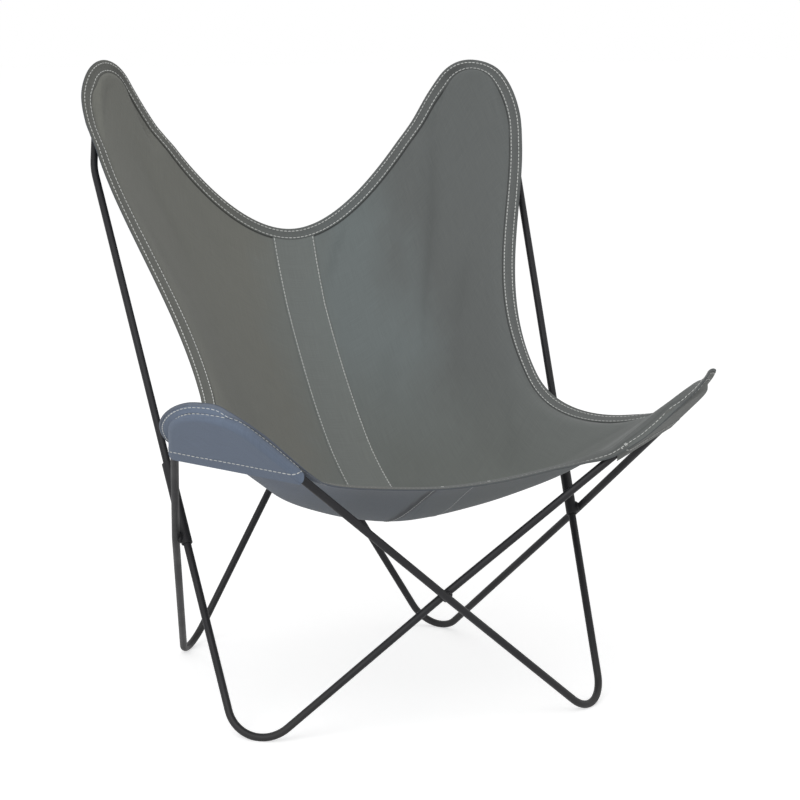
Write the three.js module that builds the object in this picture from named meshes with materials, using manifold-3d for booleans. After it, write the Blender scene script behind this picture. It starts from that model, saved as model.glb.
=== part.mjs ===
// Butterfly sling chair: two loops of bent rod cross at the front, the rear and both sides and rise to
// four horns, and a canvas sling hangs on the horns by its pockets.
// Millimetres, +Z up, the chair faces -Y. Corner points are given for the right half, x outward.
import * as THREE from 'three';
import { mergeVertices } from 'three/addons/utils/BufferGeometryUtils.js';
import Module from 'manifold-3d';

const wasm = await Module();
wasm.setup();

// Rods: a corner is the point where two straight runs would meet without their bend
const rodDiameter = 11;
const clearance = 0.3;
const frontHornOut = 405;
const frontHornForward = 429;
const frontHornHeight = 540;
const frontHornBend = 65;
const backHornOut = 306;
const backHornBack = 354;
const backHornHeight = 956;
const backHornBend = 36;
const outerKneeOut = 341;
const outerKneeBack = 255;
const outerKneeHeight = 750;
const innerKneeOut = 218;
const innerKneeBack = 350;
const innerKneeHeight = 700;
const kneeBend = 100;
const frontFootOut = 272;
const frontFootForward = 264;
const frontFootBend = 54;
const backFootOut = 209;
const backFootBack = 264;
const backFootBend = 47;
const footFlat = 0.4;
const crossingBend = 500;

// Sleeves that join a back horn rod to the rest of its loop, and the beads at the crossings
const sleeveDiameter = 16;
const sleeveLength = 125;
const sleeveBelowCrossing = 12;
const rearSleeveAboveCrossing = 60;
const beadRadius = 5.5;
const beadThickness = 6.4;
const beadRounds = 12;
const beadSides = 8;

// Sling: how far the cloth reaches past the rods, and how high it lies on them
const sheetThickness = 1.4;
const sheetLift = 7.8;
const backLobeMargin = 26.8;
const frontLobeMargin = 25;
const backLobeInnerSweep = 0.985;
const backLobeOuterSweep = 0.958;
const frontLobeInnerSweep = 0.199;
const frontLobeOuterSweep = 1.325;

// Sling outline between the lobes: points on the edge, and the pull of the curve at each end
const backMiddleBack = 359;
const backMiddleHeight = 638.5;
const backLobePull = 410;
const backMiddlePull = 268;
const waistOut = 260;
const waistForward = 29;
const waistHeight = 447;
const waistSlope = 0.637;
const waistFlare = 0.035;
const sideBackPull = 470;
const waistBackPull = 746;
const waistFrontPull = 370;
const sideFrontPull = 195;
const restDistance = 232;
const restOverhang = 7.9;
const frontLobePull = 106;
const restSidePull = 106;
const restMiddlePull = 128;
const frontMiddleForward = 351;
const frontMiddleHeight = 351;
const frontMiddlePull = 249;

// Sling centre line, from the back edge over the lowest point of the seat to the front edge
const seatLowForward = 120;
const seatLowHeight = 265;
const centreBackLean = 0.481;
const centreBackPull = 333;
const seatBackPull = 514;
const seatFrontPull = 290;
const centreFrontRise = 0.064;
const centreFrontPull = 283;

// A soft fold down the right half of the back
const foldDepth = 4;
const foldWidth = 0.055;
const foldTop = { u: 0.7, v: 0.02 };
const foldEnd = { u: 0.455, v: 0.27 };

// Sewn pieces
const hemWidth = 18;
const hemThickness = 1.2;
const bandBackWidth = 62;
const bandFrontWidth = 54;
const bandThickness = 1;
const pocketThickness = 1.2;
const pocketSeamInset = 2;
const pocketSlack = 1.3;
const mouthPast = 14;
const backPocketInner = 105;
const backPocketOuter = 100;
const backMouthInner = 150;
const backMouthOuter = 150;
const frontPocketInner = 175;
const frontPocketOuter = 150;
const frontMouthInner = 243;
const frontMouthOuter = 235;

// Facets
const rodSides = 12;
const bendStep = 0.22;
const sheetColumns = 11;
const sheetRows = 28;
const tipCrowding = 1.45;
const endCrowding = 0.5;
const pocketColumns = 20;
const pocketRows = 3;

const rodBlack = { color: 0x2b2b2e, roughness: 0.55, metalness: 0.4 };
const canvasGrey = { color: 0x6b6e6c, roughness: 0.95, metalness: 0 };
const webbingGrey = { color: 0x646866, roughness: 0.95, metalness: 0 };

const rodRadius = rodDiameter / 2;
const point = (x, y, z) => new THREE.Vector3(x, y, z);
const onSide = (p, side) => point(side * p.x, p.y, p.z);
const unit = (from, to) => to.clone().sub(from).normalize();
const along = (p, direction, distance) => p.clone().addScaledVector(direction, distance);
const mix = (a, b, share) => a * (1 - share) + b * share;

const chair = new THREE.Group();

function add(name, geometry, finish) {
  const mesh = new THREE.Mesh(geometry, new THREE.MeshStandardMaterial(finish));
  mesh.name = name;
  chair.add(mesh);
  return mesh;
}

// Closed geometry and solids

function welded(geometry) {
  geometry.deleteAttribute('normal');
  geometry.deleteAttribute('uv');
  return mergeVertices(geometry);
}

function toSolid(geometry) {
  const { array } = geometry.attributes.position;
  const mesh = new wasm.Mesh({
    numProp: 3,
    vertProperties: new Float32Array(array),
    triVerts: new Uint32Array(geometry.index.array),
  });
  return new wasm.Manifold(mesh);
}

function fromSolid(solid) {
  const mesh = solid.getMesh();
  const geometry = new THREE.BufferGeometry();
  geometry.setAttribute('position', new THREE.BufferAttribute(mesh.vertProperties, 3));
  geometry.setIndex(new THREE.BufferAttribute(mesh.triVerts, 1));
  return geometry;
}

function ring(radius, sides) {
  return new THREE.EllipseCurve(0, 0, radius, radius).getPoints(sides).slice(0, -1);
}

// Bends: an arc that rounds the corner between two runs

function bendAt(before, corner, after, radius) {
  const first = unit(corner, before);
  const second = unit(corner, after);
  const half = first.angleTo(second) / 2;
  const inward = first.clone().add(second).normalize();
  return {
    centre: along(corner, inward, radius / Math.sin(half)),
    outward: inward.clone().negate(),
    across: second.clone().sub(first).normalize(),
    sweep: Math.PI / 2 - half,
    radius,
  };
}

function bendPoint(bend, angle) {
  const onOutward = along(bend.centre, bend.outward, bend.radius * Math.cos(angle));
  return along(onOutward, bend.across, bend.radius * Math.sin(angle));
}

function bendDirection(bend, angle) {
  const turned = bend.across.clone().multiplyScalar(Math.cos(angle));
  return along(turned, bend.outward, -Math.sin(angle));
}

// A rod's centre line: straight runs and bends, with a cross-section only where it needs one
class RodPath extends THREE.Curve {
  constructor(start, corners, end) {
    super();
    const stops = [start, ...corners.map((corner) => corner.at), end];
    this.points = [start];
    this.tangents = [unit(start, stops[1])];
    corners.forEach(({ bend }, index) => {
      const arc = bendAt(stops[index], stops[index + 1], stops[index + 2], bend);
      const steps = Math.ceil((2 * arc.sweep) / bendStep);
      for (let step = 0; step <= steps; step += 1) {
        const angle = mix(-arc.sweep, arc.sweep, step / steps);
        this.points.push(bendPoint(arc, angle));
        this.tangents.push(bendDirection(arc, angle));
      }
    });
    this.points.push(end);
    this.tangents.push(unit(stops[stops.length - 2], end));
  }

  get steps() {
    return this.points.length - 1;
  }

  getPointAt(share) {
    return this.points[Math.round(share * this.steps)].clone();
  }

  getTangentAt(share) {
    return this.tangents[Math.round(share * this.steps)].clone();
  }
}

function rodGeometry(path, radius = rodRadius) {
  const section = new THREE.Shape(ring(radius, rodSides));
  const options = { steps: path.steps, extrudePath: path, bevelEnabled: false };
  return welded(new THREE.ExtrudeGeometry(section, options));
}

// Corner points of the frame

const frontHorn = point(frontHornOut, -frontHornForward, frontHornHeight);
const backHorn = point(backHornOut, backHornBack, backHornHeight);
const outerKnee = point(outerKneeOut, outerKneeBack, outerKneeHeight);
const innerKnee = point(innerKneeOut, innerKneeBack, innerKneeHeight);
const frontFoot = point(frontFootOut, -frontFootForward, 0);
const backFoot = point(backFootOut, backFootBack, 0);

// Where a run from one side to the other meets the middle plane, and the way square to it there
function middleCrossing(from, to) {
  const at = from.clone().lerp(to, from.x / (from.x - to.x));
  const slope = to.clone().sub(from).setX(0);
  const square = point(1, 0, 0).cross(slope).normalize();
  return { at, square };
}

const frontCrossing = () => middleCrossing(onSide(frontHorn, -1), frontFoot);
const rearCrossing = () => middleCrossing(onSide(backFoot, -1), innerKnee);

// Where the front horn's rod passes outside the sleeve on the back horn's leg
function sideCrossing() {
  const leg = unit(frontFoot, outerKnee);
  const run = unit(frontHorn, backFoot);
  const outward = leg.clone().cross(run).normalize();
  outward.multiplyScalar(Math.sign(outward.x));
  const between = frontHorn.clone().sub(frontFoot);
  const lean = leg.dot(run);
  const distance = (between.dot(leg) - between.dot(run) * lean) / (1 - lean * lean);
  const onLeg = along(frontFoot, leg, distance);
  const onRun = along(onLeg, outward, sleeveDiameter / 2 + clearance + rodRadius);
  return { onLeg, onRun, leg, outward };
}

// A foot stands where the lowest point of its bend presses a small flat on the floor
function settle(foot, bend, before, after) {
  const arc = bendAt(before, foot, after, bend);
  const lowest = arc.centre.z - bend * Math.hypot(arc.outward.z, arc.across.z);
  foot.z += rodRadius * Math.cos(Math.PI / rodSides) - footFlat - lowest;
}

const settlingRounds = 12;
for (let round = 0; round < settlingRounds; round += 1) {
  settle(frontFoot, frontFootBend, outerKnee, frontCrossing().at);
  settle(backFoot, backFootBend, sideCrossing().onRun, rearCrossing().at);
}

function settled(foot, bend, before, after) {
  const corner = foot.clone();
  for (let round = 0; round < settlingRounds; round += 1) settle(corner, bend, before, after);
  return { at: corner, bend };
}

// Rods: each loop is a front horn rod of one side and the back horn rod of the other

const side = sideCrossing();
const sleeveMiddle = along(side.onLeg, side.leg, sleeveLength / 2 - sleeveBelowCrossing);

function bowed(crossing, sign) {
  return along(crossing.at, crossing.square, sign * (rodRadius + clearance / 2));
}

function rearSleevePlace(sign) {
  const start = bowed(rearCrossing(), sign);
  const direction = unit(start, onSide(innerKnee, -sign));
  const middle = along(start, direction, rearSleeveAboveCrossing + sleeveLength / 2);
  return { start, direction, middle };
}

function frontHornPath(sign) {
  const rear = rearSleevePlace(sign);
  const start = along(onSide(sleeveMiddle, -sign), onSide(side.leg, -sign), -clearance / 2);
  const front = bowed(frontCrossing(), sign);
  const past = onSide(side.onRun, sign);
  const corners = [
    settled(onSide(frontFoot, -sign), frontFootBend, start, front),
    { at: front, bend: crossingBend },
    { at: onSide(frontHorn, sign), bend: frontHornBend },
    { at: past, bend: crossingBend },
    settled(onSide(backFoot, sign), backFootBend, past, rear.start),
    { at: rear.start, bend: crossingBend },
  ];
  return new RodPath(start, corners, along(rear.middle, rear.direction, -clearance / 2));
}

function backHornPath(sign) {
  const rear = rearSleevePlace(-sign);
  const start = along(onSide(sleeveMiddle, sign), onSide(side.leg, sign), clearance / 2);
  const corners = [
    { at: onSide(outerKnee, sign), bend: kneeBend },
    { at: onSide(backHorn, sign), bend: backHornBend },
    { at: onSide(innerKnee, sign), bend: kneeBend },
  ];
  return new RodPath(start, corners, along(rear.middle, rear.direction, clearance / 2));
}

function boxBelowFloor() {
  const reach = 2 * (frontHornOut + frontHornForward + backHornBack);
  const box = new THREE.BoxGeometry(reach, reach, reach);
  box.translate(0, 0, -reach / 2);
  return toSolid(welded(box));
}

function sleeveGeometry() {
  const borePoly = (rodRadius + clearance) / Math.cos(Math.PI / rodSides);
  const section = new THREE.Shape(ring(sleeveDiameter / 2, rodSides));
  section.holes.push(new THREE.Path(ring(borePoly, rodSides)));
  const tube = new THREE.ExtrudeGeometry(section, { depth: sleeveLength, bevelEnabled: false });
  tube.translate(0, 0, -sleeveLength / 2);
  return welded(tube);
}

function addSleeve(name, middle, direction) {
  const sleeve = add(name, sleeveGeometry(), rodBlack);
  sleeve.position.copy(middle);
  sleeve.quaternion.setFromUnitVectors(point(0, 0, 1), direction);
}

// A weld bead: a ring round the touching point of two rods, cut by both
function addBead(name, centre, square, neighbours) {
  const bead = new THREE.TorusGeometry(beadRadius, beadThickness / 2, beadSides, beadRounds);
  const turn = new THREE.Quaternion().setFromUnitVectors(point(0, 0, 1), square);
  bead.applyQuaternion(turn);
  bead.translate(centre.x, centre.y, centre.z);
  let solid = toSolid(welded(bead));
  for (const other of neighbours) solid = solid.subtract(toSolid(other));
  add(name, fromSolid(solid), rodBlack);
}

const sides = [['left', -1], ['right', 1]];
const floor = boxBelowFloor();
for (const [word, sign] of sides) {
  const stood = toSolid(rodGeometry(frontHornPath(sign))).subtract(floor);
  add(`front_horn_rod_${word}`, fromSolid(stood), rodBlack);
  add(`back_horn_rod_${word}`, rodGeometry(backHornPath(sign)), rodBlack);
  addSleeve(`side_sleeve_${word}`, onSide(sleeveMiddle, sign), onSide(side.leg, sign));
  const rear = rearSleevePlace(-sign);
  addSleeve(`rear_sleeve_${sign > 0 ? 'left' : 'right'}`, rear.middle, rear.direction);

  const grownSleeve = new RodPath(
    onSide(along(side.onLeg, side.leg, -sleeveLength), sign),
    [],
    onSide(along(side.onLeg, side.leg, sleeveLength), sign),
  );
  const touch = along(side.onLeg, side.outward, (sleeveDiameter + clearance) / 2);
  addBead(`side_weld_${word}`, onSide(touch, sign), onSide(side.outward, sign), [
    rodGeometry(grownSleeve, (sleeveDiameter / 2 + clearance) / Math.cos(Math.PI / rodSides)),
    rodGeometry(frontHornPath(sign), rodRadius + clearance),
  ]);
}
const grownRods = sides.map(([, sign]) => rodGeometry(frontHornPath(sign), rodRadius + clearance));
addBead('front_cross_weld', frontCrossing().at, frontCrossing().square, grownRods);
addBead('rear_cross_weld', rearCrossing().at, rearCrossing().square, grownRods);

// Sling outline: round lobes about the horns, joined by long curves

function lobeAt(before, corner, after, bend, margin, upward) {
  const lobe = bendAt(before, corner, after, bend);
  lobe.up = lobe.outward.clone().cross(lobe.across);
  lobe.up.multiplyScalar(Math.sign(lobe.up.dot(upward)));
  lobe.centre.addScaledVector(lobe.up, sheetLift);
  lobe.radius += margin;
  return lobe;
}

class LobeArc extends THREE.Curve {
  constructor(lobe, start, end) {
    super();
    this.lobe = lobe;
    this.start = start;
    this.end = end;
  }

  getPoint(share) {
    return bendPoint(this.lobe, mix(this.start, this.end, share));
  }
}

// A curve that leaves one point and reaches the next along given directions
function pulled(from, fromWay, fromPull, to, toWay, toPull) {
  const leave = along(from, fromWay, fromPull / 3);
  const reach = along(to, toWay, -toPull / 3);
  return new THREE.CubicBezierCurve3(from, leave, reach, to);
}

function edgeOf(...curves) {
  const edge = new THREE.CurvePath();
  curves.forEach((curve) => edge.add(curve));
  return edge;
}

function lobeEnd(lobe, sweep) {
  const way = bendDirection(lobe, sweep).multiplyScalar(Math.sign(sweep));
  return { arc: new LobeArc(lobe, 0, sweep), at: bendPoint(lobe, sweep), way };
}

const inwardX = point(-1, 0, 0);
const backLobe = lobeAt(outerKnee, backHorn, innerKnee, backHornBend, backLobeMargin, point(0, -1, 0));
const frontRun = frontCrossing().at;
const frontLobe = lobeAt(side.onRun, frontHorn, frontRun, frontHornBend, frontLobeMargin, point(0, 0, 1));

function makeBackEdge() {
  const start = lobeEnd(backLobe, backLobeInnerSweep);
  const middle = point(0, backMiddleBack, backMiddleHeight);
  const curve = pulled(start.at, start.way, backLobePull, middle, inwardX, backMiddlePull);
  return edgeOf(start.arc, curve);
}

function makeSideEdge() {
  const start = lobeEnd(backLobe, -backLobeOuterSweep);
  const end = lobeEnd(frontLobe, -frontLobeOuterSweep);
  const waist = point(waistOut, -waistForward, waistHeight);
  const way = point(waistFlare, -Math.cos(waistSlope), -Math.sin(waistSlope)).normalize();
  const toFront = end.way.clone().negate();
  return edgeOf(
    start.arc,
    pulled(start.at, start.way, sideBackPull, waist, way, waistBackPull),
    pulled(waist, way, waistFrontPull, end.at, toFront, sideFrontPull),
    new LobeArc(frontLobe, -frontLobeOuterSweep, 0),
  );
}

function makeFrontEdge() {
  const start = lobeEnd(frontLobe, frontLobeInnerSweep);
  const run = unit(frontHorn, frontRun);
  const outward = run.clone().cross(frontLobe.up);
  outward.multiplyScalar(Math.sign(outward.dot(frontLobe.outward)));
  const onRod = along(frontHorn, run, restDistance);
  const rest = along(along(onRod, frontLobe.up, sheetLift), outward, restOverhang);
  const middle = point(0, -frontMiddleForward, frontMiddleHeight);
  return edgeOf(
    start.arc,
    pulled(start.at, start.way, frontLobePull, rest, run, restSidePull),
    pulled(rest, run, restMiddlePull, middle, inwardX, frontMiddlePull),
  );
}

function makeCentreLine() {
  const back = point(0, backMiddleBack, backMiddleHeight);
  const low = point(0, -seatLowForward, seatLowHeight);
  const front = point(0, -frontMiddleForward, frontMiddleHeight);
  const forward = point(0, -1, 0);
  const leave = point(0, -Math.sin(centreBackLean), -Math.cos(centreBackLean));
  const reach = point(0, -Math.cos(centreFrontRise), Math.sin(centreFrontRise));
  return edgeOf(
    pulled(back, leave, centreBackPull, low, forward, seatBackPull),
    pulled(low, forward, seatFrontPull, front, reach, centreFrontPull),
  );
}

const backEdge = makeBackEdge();
const sideEdge = makeSideEdge();
const frontEdge = makeFrontEdge();
const centreLine = makeCentreLine();

// Sling surface: u runs from the middle (0) to the side edge (1), v from the back edge (0) to the front (1)
// The four edges are blended, and the middle is drawn to the centre line.

function blended(u, v) {
  const across = backEdge.getPoint(1 - u).multiplyScalar(1 - v);
  across.addScaledVector(frontEdge.getPoint(1 - u), v);
  const tips = backEdge.getPoint(0).lerp(frontEdge.getPoint(0), v);
  const down = sideEdge.getPoint(v).sub(tips);
  down.x *= u;
  return across.add(down);
}

function smooth(u, v) {
  const sag = centreLine.getPoint(v).sub(blended(0, v));
  return along(blended(u, v), sag, 1 - u * u);
}

const slopeStep = 0.002;
const slopeMargin = 0.02;

function normalOf(surface, u, v) {
  const uIn = THREE.MathUtils.clamp(u, slopeMargin, 1 - slopeMargin);
  const vIn = THREE.MathUtils.clamp(v, slopeMargin, 1 - slopeMargin);
  const alongU = surface(uIn + slopeStep, vIn).sub(surface(uIn - slopeStep, vIn));
  const alongV = surface(uIn, vIn + slopeStep).sub(surface(uIn, vIn - slopeStep));
  const normal = alongV.cross(alongU);
  if (u === 0) normal.x = 0;
  return normal.normalize();
}

// The fold is deepest midway along its line and fades at both ends
function foldAt(u, v) {
  const share = (v - foldTop.v) / (foldEnd.v - foldTop.v);
  if (share <= 0 || share >= 1) return 0;
  const offLine = (u - mix(foldTop.u, foldEnd.u, share)) / foldWidth;
  return -foldDepth * Math.sin(Math.PI * share) ** 2 * Math.exp(-offLine * offLine);
}

const folded = (u, v) => along(smooth(u, v), normalOf(smooth, u, v), foldAt(u, v));
const surfaces = { left: smooth, right: folded };

const locateRounds = 14;
const locateReach = 0.1;
const edgeInU = 0.05;
const edgeInV = 0.03;

// Sheet coordinates of the surface point nearest to a target
function locate(target, start) {
  const moved = (from, move) => {
    const held = THREE.MathUtils.clamp(move, -locateReach, locateReach);
    return THREE.MathUtils.clamp(from + held, 0, 1);
  };
  let { u, v } = start;
  for (let round = 0; round < locateRounds; round += 1) {
    const here = smooth(u, v);
    const uStep = u > 0.5 ? -slopeStep : slopeStep;
    const vStep = v > 0.5 ? -slopeStep : slopeStep;
    const uWay = smooth(u + uStep, v).sub(here).divideScalar(uStep);
    const vWay = smooth(u, v + vStep).sub(here).divideScalar(vStep);
    const miss = target.clone().sub(here);
    const uu = uWay.dot(uWay);
    const uv = uWay.dot(vWay);
    const vv = vWay.dot(vWay);
    const scale = uu * vv - uv * uv;
    const uMove = (miss.dot(uWay) * vv - miss.dot(vWay) * uv) / scale;
    const vMove = (miss.dot(vWay) * uu - miss.dot(uWay) * uv) / scale;
    u = moved(u, uMove);
    v = moved(v, vMove);
  }
  return { u, v };
}

// Sheet coordinates of a point a given width inside the edge
function inset(u, v, width) {
  const here = smooth(u, v);
  const uStep = slopeStep * Number(v === 0 || v === 1);
  const vStep = slopeStep * Number(u === 1) * (v > 0.5 ? -1 : 1);
  const atTip = uStep > 0 && vStep !== 0;
  const uBack = Math.max(u - uStep, 0);
  const uOn = atTip ? 1 : Math.min(u + uStep, 1);
  const vOn = atTip ? v + vStep : THREE.MathUtils.clamp(v + vStep, 0, 1);
  const tangent = smooth(uOn, vOn).sub(smooth(uBack, v));
  const start = { u: u * (1 - edgeInU), v: mix(edgeInV, 1 - edgeInV, v) };
  const inward = normalOf(smooth, u, v).cross(tangent).normalize();
  inward.multiplyScalar(Math.sign(inward.dot(smooth(start.u, start.v).sub(here))));
  const found = locate(along(here, inward, width), start);
  return u === 0 ? { u: 0, v: found.v } : found;
}

function sheetNode(surface, { u, v }) {
  return { at: surface(u, v), normal: normalOf(surface, u, v) };
}

// A closed solid between two offsets of a patch of four-sided cells
function sheetSolid(nodes, cells, low, high) {
  const count = nodes.length;
  const offset = (amount) => nodes.flatMap(({ at, normal }) => along(at, normal, amount).toArray());
  const faces = cells.flatMap(([a, b, c, d]) => [[a, b, c], [a, c, d]]);
  const rims = new Map();
  for (const cell of cells) {
    cell.forEach((from, corner) => {
      const to = cell[(corner + 1) % 4];
      if (!rims.delete(`${to} ${from}`)) rims.set(`${from} ${to}`, [from, to]);
    });
  }
  const below = faces.map(([a, b, c]) => [a + count, c + count, b + count]);
  const walls = [...rims.values()].flatMap(([a, b]) => [[b, a, a + count], [b, a + count, b + count]]);
  const geometry = new THREE.BufferGeometry();
  const positions = new Float32Array([...offset(high), ...offset(low)]);
  geometry.setAttribute('position', new THREE.BufferAttribute(positions, 3));
  geometry.setIndex([...faces, ...below, ...walls].flat());
  return geometry;
}

function mirroredNodes(nodes) {
  return nodes.map(({ at, normal }) => ({ at: onSide(at, -1), normal: onSide(normal, -1) }));
}

// Half of the sling as a grid: columns from the middle outward, rows from back to front

function columnShares(v, edge, bandWidth) {
  let bandShare = bandWidth / 2 / edge.getLength();
  for (let round = 0; round < settlingRounds; round += 1) {
    const onHemLine = inset(bandShare, v, hemWidth);
    bandShare *= bandWidth / 2 / smooth(onHemLine.u, onHemLine.v).x;
  }
  return Array.from({ length: sheetColumns + 1 }, (_, column) => {
    if (column === 0) return 0;
    const share = (column - 1) / (sheetColumns - 1);
    return mix(bandShare, 1, 1 - (1 - share) ** tipCrowding);
  });
}

function rowShare(row) {
  const share = row / sheetRows;
  return mix(share, (1 - Math.cos(Math.PI * share)) / 2, endCrowding);
}

function halfSheet(surface) {
  const columns = columnShares(0, backEdge, bandBackWidth);
  const frontColumns = columnShares(1, frontEdge, bandFrontWidth);
  const rows = Array.from({ length: sheetRows + 1 }, (_, row) => rowShare(row));
  const back = columns.map((u) => inset(u, 0, hemWidth));
  const front = frontColumns.map((u) => inset(u, 1, hemWidth));
  const outer = rows.map((v) => inset(1, v, hemWidth));
  const [backMiddle, backTip] = [back[0], outer[0]];
  const [frontMiddle, frontTip] = [front[0], outer[sheetRows]];

  const coordinate = (name, column, row) => {
    const a = columns[column];
    const b = rows[row];
    const middle = name === 'u' ? 0 : mix(backMiddle.v, frontMiddle.v, b);
    const ruled = mix(back[column][name], front[column][name], b) + mix(middle, outer[row][name], a);
    const backCorners = mix(backMiddle[name], backTip[name], a);
    const frontCorners = mix(frontMiddle[name], frontTip[name], a);
    return ruled - mix(backCorners, frontCorners, b);
  };

  const nodes = [];
  const inner = rows.map((_, row) => columns.map((__, column) => {
    const place = { u: coordinate('u', column, row), v: coordinate('v', column, row) };
    return nodes.push(sheetNode(surface, place)) - 1;
  }));
  const innerLoop = [
    ...columns.map((_, column) => inner[0][column]),
    ...rows.slice(1).map((_, row) => inner[row + 1][sheetColumns]),
    ...columns.slice(1).map((_, column) => inner[sheetRows][sheetColumns - 1 - column]),
  ];
  const edgePlaces = [
    ...columns.map((u) => ({ u, v: 0 })),
    ...rows.slice(1).map((v) => ({ u: 1, v })),
    ...columns.slice(1).map((_, column) => ({ u: frontColumns[sheetColumns - 1 - column], v: 1 })),
  ];
  const outerLoop = edgePlaces.map((place) => nodes.push(sheetNode(surface, place)) - 1);
  return { nodes, inner, innerLoop, outerLoop };
}

function panelCells({ inner, innerLoop, outerLoop }) {
  const cells = [];
  for (let row = 0; row < sheetRows; row += 1) {
    for (let column = 0; column < sheetColumns; column += 1) {
      const [near, far] = [inner[row], inner[row + 1]];
      cells.push([near[column], far[column], far[column + 1], near[column + 1]]);
    }
  }
  for (let step = 0; step + 1 < outerLoop.length; step += 1) {
    cells.push([outerLoop[step], innerLoop[step], innerLoop[step + 1], outerLoop[step + 1]]);
  }
  return cells;
}

function flipped(cells) {
  return cells.map((cell) => [...cell].reverse());
}

const half = { left: halfSheet(surfaces.left), right: halfSheet(surfaces.right) };
const loopTip = { back: sheetColumns, front: sheetColumns + sheetRows };
const loopEnd = 2 * sheetColumns + sheetRows;

function onSheet(word, sign) {
  const { nodes } = half[word];
  return sign > 0 ? nodes : mirroredNodes(nodes);
}

function addPanel(word, sign) {
  const sheet = half[word];
  const clear = (at) => at.clone().setX(Math.max(at.x, clearance / 2));
  const nodes = sheet.nodes.map(({ at, normal }) => ({ at: clear(at), normal }));
  const placed = sign > 0 ? nodes : mirroredNodes(nodes);
  const cells = panelCells(sheet);
  const facing = sign > 0 ? cells : flipped(cells);
  const geometry = sheetSolid(placed, facing, -sheetThickness / 2, sheetThickness / 2);
  add(`sling_panel_${word}`, geometry, canvasGrey);
}

// A strip sewn on the sheet: rungs are pairs of nodes across it, and its ends keep a clearance

function addStrip(name, rungs, thickness, finish, endGap) {
  const pulledIn = ({ at, normal }, next) => ({ at: along(at, unit(at, next.at), endGap), normal });
  const last = rungs.length - 1;
  const ends = new Map([[0, 1], [last, last - 1]]);
  const shown = rungs.map((rung, index) => rung.map((node, place) => (
    ends.has(index) ? pulledIn(node, rungs[ends.get(index)][place]) : node
  )));
  const wide = rungs[0].length;
  const cells = [];
  for (let index = 0; index < last; index += 1) {
    for (let place = 0; place + 1 < wide; place += 1) {
      const from = index * wide + place;
      cells.push([from, from + 1, from + 1 + wide, from + wide]);
    }
  }
  const low = sheetThickness / 2 + clearance;
  add(name, sheetSolid(shown.flat(), cells, low, low + thickness), finish);
}

function hemRungs(word, sign, first, end) {
  const { innerLoop, outerLoop } = half[word];
  const nodes = onSheet(word, sign);
  const rungs = [];
  for (let step = first; step <= end; step += 1) {
    rungs.push([nodes[outerLoop[step]], nodes[innerLoop[step]]]);
  }
  return rungs;
}

function reversed(rungs) {
  return [...rungs].reverse();
}

function addHems() {
  const backRight = hemRungs('right', 1, 0, loopTip.back);
  const backLeft = hemRungs('left', -1, 1, loopTip.back);
  addStrip('back_hem', [...reversed(backLeft), ...backRight], hemThickness, webbingGrey, clearance / 2);
  const frontRight = hemRungs('right', 1, loopTip.front, loopEnd);
  const frontLeft = hemRungs('left', -1, loopTip.front, loopEnd - 1);
  addStrip('front_hem', [...frontRight, ...reversed(frontLeft)], hemThickness, webbingGrey, clearance / 2);
  const sideRight = hemRungs('right', 1, loopTip.back, loopTip.front);
  const sideLeft = hemRungs('left', -1, loopTip.back, loopTip.front);
  addStrip('side_hem_right', sideRight, hemThickness, webbingGrey, clearance / 2);
  addStrip('side_hem_left', reversed(sideLeft), hemThickness, webbingGrey, clearance / 2);
}

function addBand() {
  const [left, right] = [onSheet('left', -1), onSheet('right', 1)];
  const rungs = half.right.inner.map((row, index) => [
    left[half.left.inner[index][1]], right[row[0]], right[row[1]],
  ]);
  addStrip('centre_band', reversed(rungs), bandThickness, canvasGrey, clearance);
}

// A pocket: sewn under the rim of a horn's lobe, wrapped round the rod and open towards the seat

function hornOf(corner, bend, outer, inner, upward) {
  const arc = bendAt(outer.towards, corner, inner.towards, bend);
  const up = arc.outward.clone().cross(arc.across);
  const turn = Math.sign(up.dot(upward));
  const onRun = ({ towards, mouth }, short) => along(corner, unit(corner, towards), mouth - short);
  const line = edgeOf(
    new THREE.LineCurve3(onRun(outer, mouthPast), bendPoint(arc, -arc.sweep)),
    new LobeArc(arc, -arc.sweep, arc.sweep),
    new THREE.LineCurve3(bendPoint(arc, arc.sweep), onRun(inner, mouthPast)),
  );
  const mouth = new THREE.LineCurve3(onRun(outer, 0), onRun(inner, 0));
  return { line, mouth, up: up.multiplyScalar(turn), turn };
}

// Places on the sling's edge round a lobe, from the side edge over the tip to the other edge
function pocketPlaces({ inner, innerReach, outerReach, v }) {
  return Array.from({ length: pocketColumns + 1 }, (_, column) => {
    const distance = mix(-outerReach, innerReach, column / pocketColumns);
    if (distance > 0) return { u: 1 - distance / inner.getLength(), v };
    return { u: 1, v: mix(v, 1 - v, -distance / sideEdge.getLength()) };
  });
}

function pocketColumn(surface, place, { line, mouth, up, turn }, share) {
  const wrap = rodRadius + pocketSlack + pocketThickness / 2;
  const rod = line.getPoint(share);
  const outward = line.getTangent(share).cross(up).multiplyScalar(turn);
  const diagonal = outward.clone().sub(up).normalize();
  const round = [outward, diagonal, up.clone().negate()].map((way) => (
    { at: along(rod, way, wrap), normal: way.clone().negate() }
  ));
  const seam = sheetNode(surface, inset(place.u, place.v, pocketSeamInset));
  seam.at.addScaledVector(seam.normal, -(sheetThickness + pocketThickness) / 2 - clearance);
  const floor = round[round.length - 1].at;
  const end = along(mouth.getPoint(share), up, -wrap);
  const rest = Array.from({ length: pocketRows }, (_, row) => (
    { at: floor.clone().lerp(end, (row + 1) / pocketRows), normal: up }
  ));
  return [seam, ...round, ...rest];
}

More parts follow.
